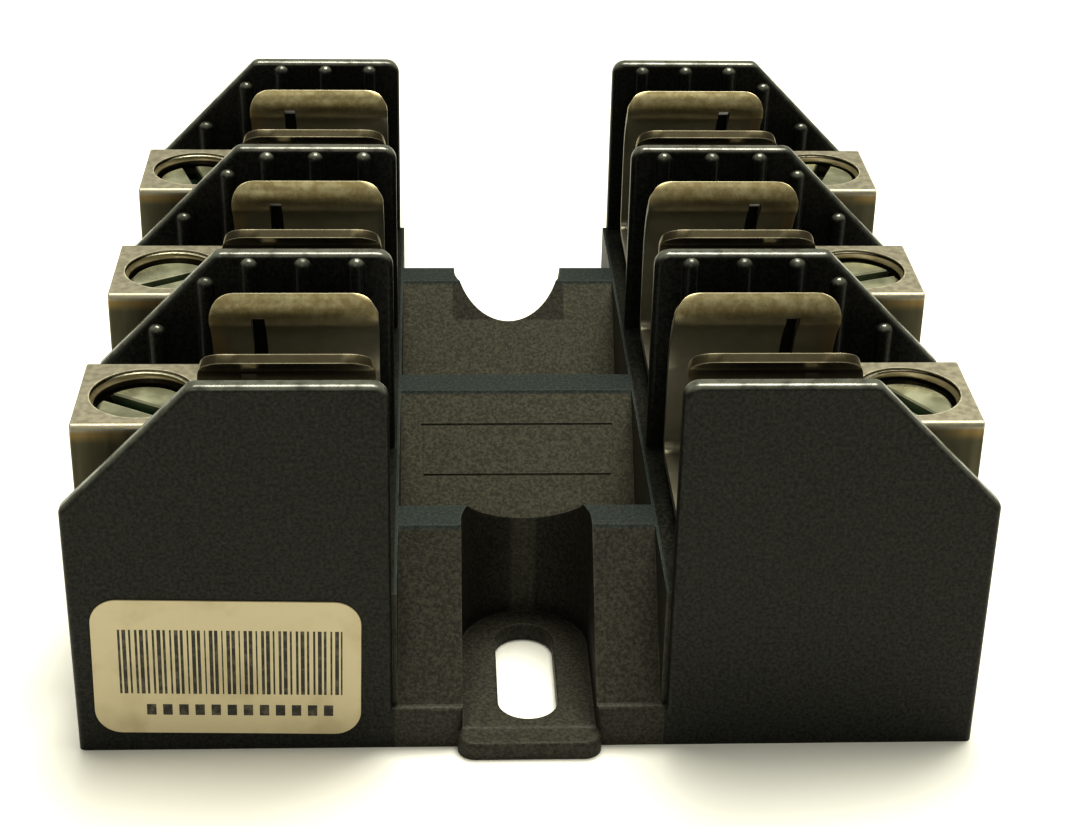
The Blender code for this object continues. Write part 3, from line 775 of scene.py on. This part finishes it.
# %% The line of a clip's side
SHEET, SPRING = 0.8, 0.6
LIP_TIP_Y, LIP_TRIM = 5.72, 0.1
AXIS_Z = 23.3
BASE_Z = 15.5
CLIP_R = clip_high[1] - SHEET / 2
BEND_R = 1.2
TAIL_HALF, TAIL_Z, TAIL_BEND_X = 3.3, 12.9, 25.2
BASE_Y = np.array([0.0, 1.2, 2.4, TAIL_HALF, TAIL_HALF + 0.2, 5.0])


def bow(start, end, centre, radius, steps):
    """Points on an arc, angles in degrees."""
    angle = np.radians(np.linspace(start, end, steps + 1))
    return np.stack([centre[0] + radius * np.cos(angle), centre[1] + radius * np.sin(angle)], -1)


def side_line(base_z, radius, bend, end_deg):
    """Middle line of one side, out along the base, up, and round the ferrule."""
    flat = np.stack([BASE_Y, np.full(len(BASE_Y), base_z)], -1)
    lower = bow(-90, 0, (radius - bend, base_z + bend), bend, 6)
    upright = np.linspace(base_z + bend, AXIS_Z, 6)[1:-1]
    upright = np.stack([np.full(4, radius), upright], -1)
    return np.concatenate([flat, lower, upright, bow(0, end_deg, (0, AXIS_Z), radius, 14)])


def lip_line(line, neck, radius):
    """The line carried on through a reverse bend at the neck to the flared tip."""
    tip = np.array([LIP_TIP_Y, clip_high[2] - LIP_TRIM])
    start = line[-1]
    before, after = unit(start - neck), unit(tip - neck)
    half = np.arccos((before * after).sum()) / 2
    centre = neck + unit(before + after) * radius / np.sin(half)
    first = neck + before * radius / np.tan(half) - centre
    last = neck + after * radius / np.tan(half) - centre
    a, b = np.degrees(np.arctan2(first[1], first[0])), np.degrees(np.arctan2(last[1], last[0]))
    turn = (b - a + 180) % 360 - 180
    curve = bow(a, a + turn, centre, radius, 7)
    reach = np.array([0.35, 0.55, 0.72, 0.85, 0.94, 1.0])[:, None]
    return np.concatenate([line, curve, curve[-1] + (tip - curve[-1]) * reach])


def both_sides(line):
    """The whole strip, from one tip through the base to the other."""
    return np.concatenate([(line * [-1, 1])[:0:-1], line])


# %% Sheet surfaces
def strip(line, x_low, x_high, corner, split):
    """Grid of points over a bent strip, and which of its faces to keep.

    Row i is a point of the line, column j a share of the width. Near an end, at distance
    d from it, each edge draws in by corner - sqrt(corner^2 - (corner - d)^2).
    """
    step = np.linalg.norm(np.diff(line, axis=0), axis=1)
    along = np.concatenate([[0], np.cumsum(step)])
    from_end = np.minimum(along, along[-1] - along)
    gap = np.clip(corner - from_end, 0, corner)
    draw = (corner - np.sqrt(np.maximum(corner ** 2 - gap ** 2, 0)))[:, None]
    share = np.array([0, 0.1, 0.4, 1.0])
    left, right = x_low + draw, x_high - draw
    x = np.concatenate([left + share * (split[0] - left), right - share[::-1] * (right - split[1])], 1)
    y = np.repeat(line[:, :1], x.shape[1], 1)
    z = np.repeat(line[:, 1:], x.shape[1], 1)
    return np.stack([x, y, z], -1), len(share) - 1


def sheet_faces(rows, columns, offset=0):
    """Four-sided faces over a grid, as rows x columns x 4."""
    index = np.arange(rows * columns).reshape(rows, columns) + offset
    return np.stack([index[:-1, :-1], index[:-1, 1:], index[1:, 1:], index[1:, :-1]], -1)


def thicken(obj, thickness, edge):
    """Give a sheet its thickness, half to each side, and blunt its edges."""
    solid = obj.modifiers.new("thickness", "SOLIDIFY")
    solid.thickness = thickness * MM
    solid.offset = 0.0
    solid.use_even_offset = True
    bake(obj)
    soften(obj, edge, 2, 50)


# %% [markdown]
# ### The clip's finish
#
# Plated sheet that has aged turns brown-grey, with blotches on the lips. Light and shade
# are painted over it: the sheet is painted darker low down and paler on the lips and on
# faces that look up, and the outside of the U is painted nearly black-brown as painted
# shade. Each outer end has a paler band of painted light, and the top edges of the lips are
# painted bright, partly wear and partly a painted highlight. The outside faces are told
# apart by their normals: those that point away from the fuse's axis.

# %% Tarnished plating
# Heights and reaches of the painted light and shade and of the bright edges, in millimetres.
PALE_Z, BRIGHT_EDGE_Z, OPEN_END_X = (28.2, 30.9), (29.9, 30.5), (24.0, 24.7)
OUTSIDE_REACH = (3.6, 5.0)


def tarnished():
    """Brown-grey plated sheet, with painted light on the lips and painted shade outside."""
    f = Finish("tarnished_plating", metallic=0.85)
    x, y, z = f.axes()
    cloud = f.noise(260.0, 4.0, rough=0.65)
    streak = f.noise(900.0, 2.0, stretch=(1.0, 1.0, 0.15))
    # Painted light: paler high up and on faces that look up, darker low down.
    high = f.fade(f.sum("ADD", z, f.sum("MULTIPLY", cloud, 2.4 * MM)), PALE_Z)
    _, across, up = f.normal()
    high = f.sum("MULTIPLY", high, f.ramp(up, -0.35, 0.15, 0.6, 1.0))
    # Painted shade: faces that look away from the fuse's axis are painted nearly black-brown.
    outward = f.sum("MULTIPLY", f.from_pole(y), across)
    outward = f.sum("MULTIPLY_ADD", f.sum("SUBTRACT", z, AXIS_Z * MM), up, outward)
    outside = f.fade(outward, OUTSIDE_REACH)
    dull = f.mix(cloud, (0.190, 0.182, 0.150), (0.330, 0.312, 0.262))
    blotch = f.ramp(f.noise(1100.0, 4.0, rough=0.75), 0.34, 0.64)
    pale = f.mix(streak, (0.29, 0.262, 0.165), (0.41, 0.378, 0.262))
    pale = f.mix(f.sum("MULTIPLY", blotch, 0.75), pale, (0.225, 0.180, 0.095))
    # Painted light: a paler band at each open outer end.
    painted_light_open_end = f.fade(f.sum("ABSOLUTE", x), OPEN_END_X)
    dull = f.mix(f.sum("MULTIPLY", painted_light_open_end, 0.7), dull, (0.36, 0.285, 0.175))
    colour = f.mix(high, dull, pale)
    colour = f.mix(f.sum("MULTIPLY", outside, 0.9), colour, (0.060, 0.052, 0.036))
    # Partly wear, partly painted highlight: the top edges of the lips are painted bright.
    worn = f.sum("MULTIPLY", f.edges(0.2), f.fade(z, BRIGHT_EDGE_Z))
    colour = f.mix(f.sum("MULTIPLY", worn, 0.75), colour, (0.72, 0.68, 0.55))
    rough = f.sum("ADD", f.ramp(cloud, 0.3, 0.75, 0.50, 0.38), f.sum("MULTIPLY", outside, 0.12))
    return f.use(Base_Color=colour, Roughness=rough, Normal=f.bump(f.noise(1500.0, 2.0), 0.02, 0.5))


# %% Clips
CLIP_X = (clip_low[0], 25.4)
SPLIT_X, SPLIT_LOW_Z, SPLIT_HIGH_Z = (20.95, 22.05), 18.8, 29.55
LIP_CORNER, ARC_END_DEG = 2.0, 44.0
NECK, NECK_R = (4.40, 29.65), 1.3


def clip_mesh():
    """Sheet of one clip: the U with its splits, and the tail that leaves its base."""
    line = side_line(BASE_Z, CLIP_R, BEND_R, ARC_END_DEG)
    line = both_sides(lip_line(line, np.array(NECK), NECK_R))
    base_rows = np.flatnonzero((np.abs(line[:, 0]) < TAIL_HALF + 0.1) & (line[:, 1] < BASE_Z + 0.1))
    x_high = np.full((len(line), 1), CLIP_X[1])
    x_high[base_rows] = TAIL_BEND_X - 0.8
    points, split_column = strip(line, CLIP_X[0], x_high, LIP_CORNER, SPLIT_X)
    rows, columns = points.shape[:2]
    faces = sheet_faces(rows, columns)
    z = (points[:-1, 0, 2] + points[1:, 0, 2]) / 2
    keep = np.ones(faces.shape[:2], bool)
    keep[(z > SPLIT_LOW_Z) & (z < SPLIT_HIGH_Z), split_column] = False
    down = bow(90, 0, (TAIL_BEND_X - 0.8, BASE_Z - 0.8), 0.8, 4)
    out = bow(180, 270, (TAIL_BEND_X + 0.8, TAIL_Z + 0.8), 0.8, 4)
    path = np.concatenate([down[1:], out, [[clip_high[0] - 2.0, TAIL_Z], [clip_high[0], TAIL_Z]]])
    y = line[base_rows, 0]
    tail = np.stack([
        np.repeat(path[:, 0][:, None], len(y), 1), np.repeat(y[None], len(path), 0),
        np.repeat(path[:, 1][:, None], len(y), 1)], -1)
    tail = np.concatenate([points[base_rows, -1][None], tail])
    return points, faces[keep], tail


def make_sheet(name, shells):
    """Object of an open sheet, its doubled points merged."""
    obj = new_object(name, mesh_of(name, shells))
    weld(obj, 0.01)
    return obj


def clip_pattern():
    """One finished clip for the right middle place."""
    points, faces, tail = clip_mesh()
    tail_faces = sheet_faces(*tail.shape[:2]).reshape(-1, 4)[:, ::-1]
    obj = make_sheet("clip", [
        (points.reshape(-1, 3), faces.reshape(-1, 4).tolist()),
        (tail.reshape(-1, 3), tail_faces.tolist())])
    thicken(obj, SHEET, 0.13)
    combine(obj, [turned([(HOLE_R, BASE_Z - 2), (HOLE_R, BASE_Z + 2)], 32, (PIN_X, 0.0))])
    smooth(obj.data, 40)
    return obj


def place_all(pattern, kind, node_kind, material):
    """Copies of a pattern at all six places of the base, each standing for its solid."""
    made = []
    pattern.data.materials.clear()
    pattern.data.materials.append(material)
    for side_name, side in SIDES.items():
        for pole, y in POLES.items():
            name = f"{kind}_{side_name}_{pole}"
            piece = new_object(name, copy_mesh(pattern.data, side, y, name))
            even_shading(piece)
            node = f"{node_kind}_{side_name}_{pole}"
            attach(piece, "base")
            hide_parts(node)
            made.append(piece)
    bpy.data.objects.remove(pattern)
    print(kind + ":", len(made), "pieces of", len(made[0].data.vertices), "points")


place_all(clip_pattern(), "clip_sheet", "fuse_clip", tarnished())

# %% [markdown]
# ## Reinforcing springs
#
# A steel U hugs each clip from outside and keeps the copper alloy pressed on the fuse
# after it has warmed and relaxed. It has the clip's own shape, one sheet further out, and
# no lips. It shows mostly through the clip's splits, and its steel is painted nearly black
# as painted shade, so that they read as dark lines.

# %% Reinforcing springs
SPRING_X = (spring_low[0], spring_high[0])
SPRING_R = spring_high[1] - SPRING / 2


def spring_steel():
    """Steel painted nearly black as painted shade, with light scratches."""
    f = Finish("spring_steel", metallic=0.95)
    cloud = f.noise(300.0, 3.0)
    scratch = f.noise(1400.0, 2.0, stretch=(0.08, 1.0, 1.0))
    colour = f.mix(cloud, (0.020, 0.020, 0.022), (0.050, 0.048, 0.046))
    rough = f.ramp(scratch, 0.3, 0.7, 0.32, 0.48)
    return f.use(Base_Color=colour, Roughness=rough, Normal=f.bump(scratch, 0.01, 0.5))


def spring_pattern():
    """One finished spring for the right middle place."""
    offset = SPRING_R - CLIP_R
    line = both_sides(side_line(BASE_Z - offset, SPRING_R, BEND_R + offset, 37.0))
    points, _ = strip(line, SPRING_X[0], SPRING_X[1], 0.8, (17.6, 18.6))
    faces = sheet_faces(*points.shape[:2]).reshape(-1, 4)
    obj = make_sheet("spring", [(points.reshape(-1, 3), faces.tolist())])
    thicken(obj, SPRING, 0.1)
    combine(obj, [turned([(HOLE_R, BASE_Z - 3), (HOLE_R, BASE_Z + 1)], 32, (PIN_X, 0.0))])
    smooth(obj.data, 40)
    return obj


place_all(spring_pattern(), "spring_sheet", "reinforcing_spring", spring_steel())

# %% [markdown]
# ## Box lugs
#
# The lugs are sawn from an extruded aluminium bar, so their four long edges are rounded
# by the die and the sawn ends are crisp. The wire goes in at the outer end. The screw's
# hole is tapped, and its thread is a surface too: the radius follows a triangle wave that
# climbs one pitch for each turn. Over that thread the finish paints shade and light by
# height: painted shade in its first groove, a painted highlight on its first crest and
# painted shade below.

# %% Threads
THREAD_PITCH = 1.06


def threaded(root, crest, z_low, z_high, sides, rows, centre):
    """Threaded rod: radius = root + (crest - root) * wave(z / pitch - a / 2 pi).

    The wave is a triangle of height 1, its peaks and valleys clipped a little flat.
    """
    z = np.linspace(z_low, z_high, rows)[:, None]
    angle = np.linspace(0, 2 * np.pi, sides, endpoint=False)[None]
    phase = (z / THREAD_PITCH - angle / (2 * np.pi)) % 1.0
    wave = np.clip(1.25 * (1 - np.abs(2 * phase - 1)) - 0.125, 0, 1)
    radius = root + (crest - root) * wave
    rings = np.stack([
        centre[0] + radius * np.cos(angle), centre[1] + radius * np.sin(angle), z + 0 * angle], -1)
    return rings


# %% Dull aluminium
def dull_aluminium():
    """Aged aluminium: warm grey on top, brown sides that are partly stain and partly painted shade, painted
    shade and highlight in the thread, and a painted highlight on the top edges.
    """
    f = Finish("dull_aluminium", metallic=0.8)
    stain = f.noise(150.0, 4.0, stretch=(1.0, 1.0, 0.35), rough=0.6)
    saw = f.noise(1800.0, 2.0, stretch=(1.0, 1.0, 0.06))
    x, y, z = f.axes()
    # Partly stain, partly painted shade: the sides are painted browner and darker than the top, and darker
    # towards the bottom.
    side = f.under(z, lug_high[2], 0.35, 0.75)
    low = f.under(z, lug_high[2], 0.7, 1.7)
    colour = f.mix(f.noise(420.0, 4.0, rough=0.7), (0.29, 0.27, 0.215), (0.43, 0.405, 0.335))
    brown = f.mix(low, (0.30, 0.225, 0.110), (0.125, 0.118, 0.082))
    brown = f.mix(f.ramp(stain, 0.46, 0.70), brown, (0.20, 0.195, 0.145))
    colour = f.mix(side, colour, brown)
    # Painted shade and highlight in the tapped hole: dark in the first groove, pale on the first crest, dark
    # below.
    from_x = f.sum("SUBTRACT", f.sum("ABSOLUTE", x), SCREW_X * MM)
    from_y = f.from_pole(y)
    radius = f.sum("SQRT", f.sum("MULTIPLY_ADD", from_x, from_x, f.sum("MULTIPLY", from_y, from_y)))
    in_hole = f.ramp(radius, 4.25 * MM, 4.15 * MM)
    thread = f.sum("MULTIPLY", in_hole, f.under(z, lug_high[2], 0.02, 0.10))
    crest = f.sum("MULTIPLY", f.under(z, lug_high[2], 0.28, 0.36), f.under(z, lug_high[2], 0.80, 0.70))
    inner = f.mix(crest, (0.030, 0.024, 0.014), (0.50, 0.44, 0.30))
    colour = f.mix(thread, colour, inner)
    # Painted highlight on the rounded top edges.
    rim = f.sum("MULTIPLY", f.edges(0.3), f.under(z, lug_high[2], 0.7, 0.4))
    colour = f.mix(f.sum("MULTIPLY", rim, 0.85), colour, (0.80, 0.76, 0.64))
    rough = f.ramp(saw, 0.3, 0.7, 0.40, 0.54)
    return f.use(Base_Color=colour, Roughness=rough, Normal=f.bump(saw, 0.02, 0.5))


# %% Lugs
WIRE_HALF, WIRE_LOW, WIRE_HIGH = 3.7, 12.2, 20.2
TAPPED_R, LUG_EDGE = 4.1, 0.45


def tapped_hole():
    """Cutter for the tapped hole: the thread runs out just under a sharp rim."""
    top = lug_high[2]
    rings = threaded(3.84, TAPPED_R, TAIL_Z + 0.4, top - 0.28, 48, 74, (SCREW_X, 0.0))
    angle = np.linspace(0, 2 * np.pi, 48, endpoint=False)
    mouth = [
        np.stack([SCREW_X + r * np.cos(angle), r * np.sin(angle), np.full(48, z)], -1)
        for r, z in ((TAPPED_R, top - 0.20), (TAPPED_R, top - 0.06), (TAPPED_R + 0.05, top + 0.3))]
    return loft(np.concatenate([rings, mouth]))


def lug_pattern():
    """One finished lug for the right middle place."""
    section = rounded([
        (-lug_high[1], lug_low[2], LUG_EDGE), (lug_high[1], lug_low[2], LUG_EDGE),
        (lug_high[1], lug_high[2], LUG_EDGE), (-lug_high[1], lug_high[2], LUG_EDGE)], 6)
    obj = new_object("lug", mesh_of("lug", [pushed(section, "X", lug_low[0], lug_high[0], 0.14, 3)]))
    opening = rounded([
        (-WIRE_HALF, WIRE_LOW, 0.5), (WIRE_HALF, WIRE_LOW, 0.5),
        (WIRE_HALF, WIRE_HIGH, 2.4), (-WIRE_HALF, WIRE_HIGH, 2.4)], 8)
    combine(obj, [flared(opening, "X", lug_low[0], lug_high[0], 0.35)])
    combine(obj, [tapped_hole()])
    smooth(obj.data, 35)
    return obj


place_all(lug_pattern(), "lug_block", "box_lug", dull_aluminium())

# %% [markdown]
# ## Terminal screws
#
# Each is a headless slotted screw that sits below the top of its lug. It stays wherever it
# was last turned to, so every screw has its own turn and stands a few tenths of a
# millimetre higher or lower than its solid. A green film has grown in the slots.

# %% Zinc plate
def zinc(green):
    """Zinc plate with a painted highlight on its edges. Where it is green, verdigris lies low in the slot."""
    f = Finish("zinc_green" if green else "zinc", metallic=0.85)
    cloud = f.noise(420.0, 3.0)
    ring = f.noise(1600.0, 2.0)
    colour = f.mix(cloud, (0.36, 0.37, 0.27), (0.56, 0.57, 0.45))
    if green:
        z = f.axes()[2]
        low = f.under(z, screw_high[2], 0.3, 1.1)
        low = f.sum("MULTIPLY", low, f.under(z, screw_high[2], 2.0, 1.7))
        colour = f.mix(f.sum("MULTIPLY", low, 0.85), colour, (0.045, 0.130, 0.080))
    # Painted highlight: every edge is painted pale.
    colour = f.mix(f.sum("MULTIPLY", f.edges(0.2), 0.6), colour, (0.85, 0.85, 0.74))
    rough = f.ramp(cloud, 0.3, 0.7, 0.26, 0.42)
    return f.use(Base_Color=colour, Roughness=rough, Normal=f.bump(ring, 0.01, 0.4))


# %% Terminal screw bodies
SLOT_TURN = {
    ("left", "front"): -31.0, ("left", "middle"): 31.0, ("left", "rear"): 108.0,
    ("right", "front"): -56.0, ("right", "middle"): 20.0, ("right", "rear"): 69.0,
}
SCREW_LIFT = {
    ("left", "front"): -0.15, ("left", "middle"): 0.1, ("left", "rear"): -0.05,
    ("right", "front"): -0.05, ("right", "middle"): 0.15, ("right", "rear"): 0.3,
}
SCREW_R = (screw_high[0] - screw_low[0]) / 2


def screw_pattern():
    """Threaded body about the vertical through the origin, with a slot along X."""
    low, high = screw_low[2], screw_high[2]
    body = threaded(SCREW_R - 0.26, SCREW_R, low + 0.8, high - 0.35, 48, 56, (0.0, 0.0))
    angle = np.linspace(0, 2 * np.pi, 48, endpoint=False)

    def ring(r, z):
        return np.stack([r * np.cos(angle), r * np.sin(angle), np.full(48, z)], -1)
    tip = [ring(r, z) for r, z in ((1.6, low + 0.35), (2.5, low), (2.9, low), (SCREW_R - 0.4, low + 0.7))]
    top = [ring(r, z) for r, z in (
        (SCREW_R - 0.18, high - 0.28), (SCREW_R - 0.32, high - 0.06), (SCREW_R - 0.5, high))]
    obj = new_object("screw", mesh_of("screw", [loft(np.concatenate([tip, body, top]))]))
    half = 0.65
    profile = np.array([
        (-half, high - 1.5), (half, high - 1.5), (half, high - 0.15), (half + 0.12, high - 0.02),
        (half + 0.12, high + 1), (-half - 0.12, high + 1), (-half - 0.12, high - 0.02), (-half, high - 0.15)])
    combine(obj, [pushed(profile, "X", -6, 6)])
    smooth(obj.data, 35)
    return obj


def make_terminal_screws():
    """The six screws, each on its own body, turned by its own angle."""
    pattern = screw_pattern()
    material = zinc(True)
    for (side_name, pole), turn in SLOT_TURN.items():
        side, y = SIDES[side_name], POLES[pole]
        name = f"screw_body_{side_name}_{pole}"
        mesh = pattern.data.copy()
        lift = SCREW_LIFT[side_name, pole]
        spot = Matrix.Translation((side * SCREW_X * MM, y * MM, lift * MM))
        facing = math.radians(turn) + (math.pi if side < 0 else 0.0)
        mesh.transform(spot @ Matrix.Rotation(facing, 4, "Z"))
        mesh.materials.clear()
        mesh.materials.append(material)
        piece = new_object(name, mesh)
        even_shading(piece)
        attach(piece, f"terminal_screw_{side_name}_{pole}")
        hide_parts(f"terminal_screw_{side_name}_{pole}")
    print("terminal screws:", len(SLOT_TURN), "pieces of", len(pattern.data.vertices), "points")
    bpy.data.objects.remove(pattern)


make_terminal_screws()

# %% [markdown]
# ## Clip screws
#
# From below, a pan-head screw holds each clip and its spring on the moulding. The head
# is a turned profile: a flat seat, a short rim and a shallow dome. Its end is level with
# the floor of the clip, where the ferrule has to clear it.

# %% Clip screws
def pin_pattern():
    """Pan-head screw, head down, on the vertical through its own place."""
    head, rim = pin_low[2], pin_low[2] + 2.2
    radius = (pin_high[0] - pin_low[0]) / 2
    turn = np.linspace(0, np.pi / 2, 7)
    dome = [(radius - 1.1 + 1.1 * np.sin(t), head + 1.1 * (1 - np.cos(t))) for t in turn]
    profile = [(0.8, head)] + dome + [(radius, rim - 0.1), (radius - 0.1, rim), (2.1, rim), (2.08, rim + 0.1)]
    profile += [(2.08, pin_high[2] - 0.4), (1.7, pin_high[2])]
    obj = new_object("pin", mesh_of("pin", [turned(profile, 40, (PIN_X, 0.0))]))
    profile = np.array([(-0.5, head - 1), (0.5, head - 1), (0.5, head + 0.9), (-0.5, head + 0.9)])
    slot = pushed(profile, "X", PIN_X - 5, PIN_X + 5)
    combine(obj, [slot])
    smooth(obj.data, 35)
    return obj


place_all(pin_pattern(), "pin_body", "clip_screw", zinc(False))

# %% [markdown]
# ## The label
#
# A card with rounded corners, stuck a little crooked on the front wall. Its print is a
# row of bars that stands for a stock code but says nothing: their rhythm comes from two
# waves of different lengths, cut off at a level. A row of plain dashes runs below them.

# %% Label
LABEL_TILT = 1.2
LABEL_W, LABEL_H, LABEL_R = 20.7, 12.3, 2.1
label_middle = (label_low + label_high) / 2


def printed_card():
    """Cream paper with bars and dashes, drawn in the card's own turned coordinates."""
    f = Finish("printed_card", Roughness=0.5)
    centre = tuple(-c * MM for c in label_middle)
    moved = f.node("VectorMath", {0: f.place, 1: centre}, operation="ADD").outputs[0]
    turned_back = f.node("VectorRotate", {"Vector": moved, "Angle": math.radians(-LABEL_TILT)},
                         rotation_type="Y_AXIS").outputs[0]
    u, _, v = f.node("SeparateXYZ", {0: turned_back}).outputs

    def between(value, low, high):
        return f.sum("MULTIPLY", f.sum("GREATER_THAN", value, low * MM), f.sum("LESS_THAN", value, high * MM))
    fine = f.sum("SINE", f.sum("MULTIPLY", u, 2 * math.pi / (0.44 * MM)))
    slow = f.sum("SINE", f.sum("MULTIPLY", u, 2 * math.pi / (1.37 * MM)))
    bars = f.sum("GREATER_THAN", f.sum("ADD", fine, f.sum("MULTIPLY", slow, 0.7)), 0.05)
    bars = f.sum("MULTIPLY", bars, f.sum("MULTIPLY", between(u, -8.3, 8.9), between(v, -2.4, 3.5)))
    dash = f.sum("GREATER_THAN", f.sum("SINE", f.sum("MULTIPLY", u, 2 * math.pi / (1.25 * MM))), -0.25)
    dash = f.sum("MULTIPLY", dash, f.sum("MULTIPLY", between(u, -6.3, 8.4), between(v, -4.4, -3.4)))
    ink = f.sum("MAXIMUM", bars, dash)
    stain = f.ramp(f.noise(220.0, 4.0), 0.45, 0.75)
    paper = f.mix(stain, (0.62, 0.55, 0.38), (0.50, 0.43, 0.28))
    fade = f.ramp(f.noise(1800.0, 2.0), 0.25, 0.6, 0.82, 0.97)
    colour = f.mix(f.sum("MULTIPLY", ink, fade), paper, (0.022, 0.021, 0.020))
    return f.use(Base_Color=colour, Normal=f.bump(f.noise(2500.0, 2.0), 0.01, 0.3))


def make_label():
    """Card against the front wall."""
    outline = rounded([
        (-LABEL_W / 2, -LABEL_H / 2, LABEL_R), (LABEL_W / 2, -LABEL_H / 2, LABEL_R),
        (LABEL_W / 2, LABEL_H / 2, LABEL_R), (-LABEL_W / 2, LABEL_H / 2, LABEL_R)], 10)
    mesh = mesh_of("label_card", [pushed(outline, "Y", -0.14, 0.02, 0.05, 2)])
    tilt = Matrix.Rotation(math.radians(LABEL_TILT), 4, "Y")
    spot = Matrix.Translation((label_middle[0] * MM, -END_Y * MM, label_middle[2] * MM))
    mesh.transform(spot @ tilt)
    smooth(mesh, 40)
    mesh.materials.append(printed_card())
    piece = new_object("label_card", mesh)
    even_shading(piece)
    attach(piece, "base")
    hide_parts("rating_label")
    print("label:", LABEL_W, "x", LABEL_H, "mm")


make_label()
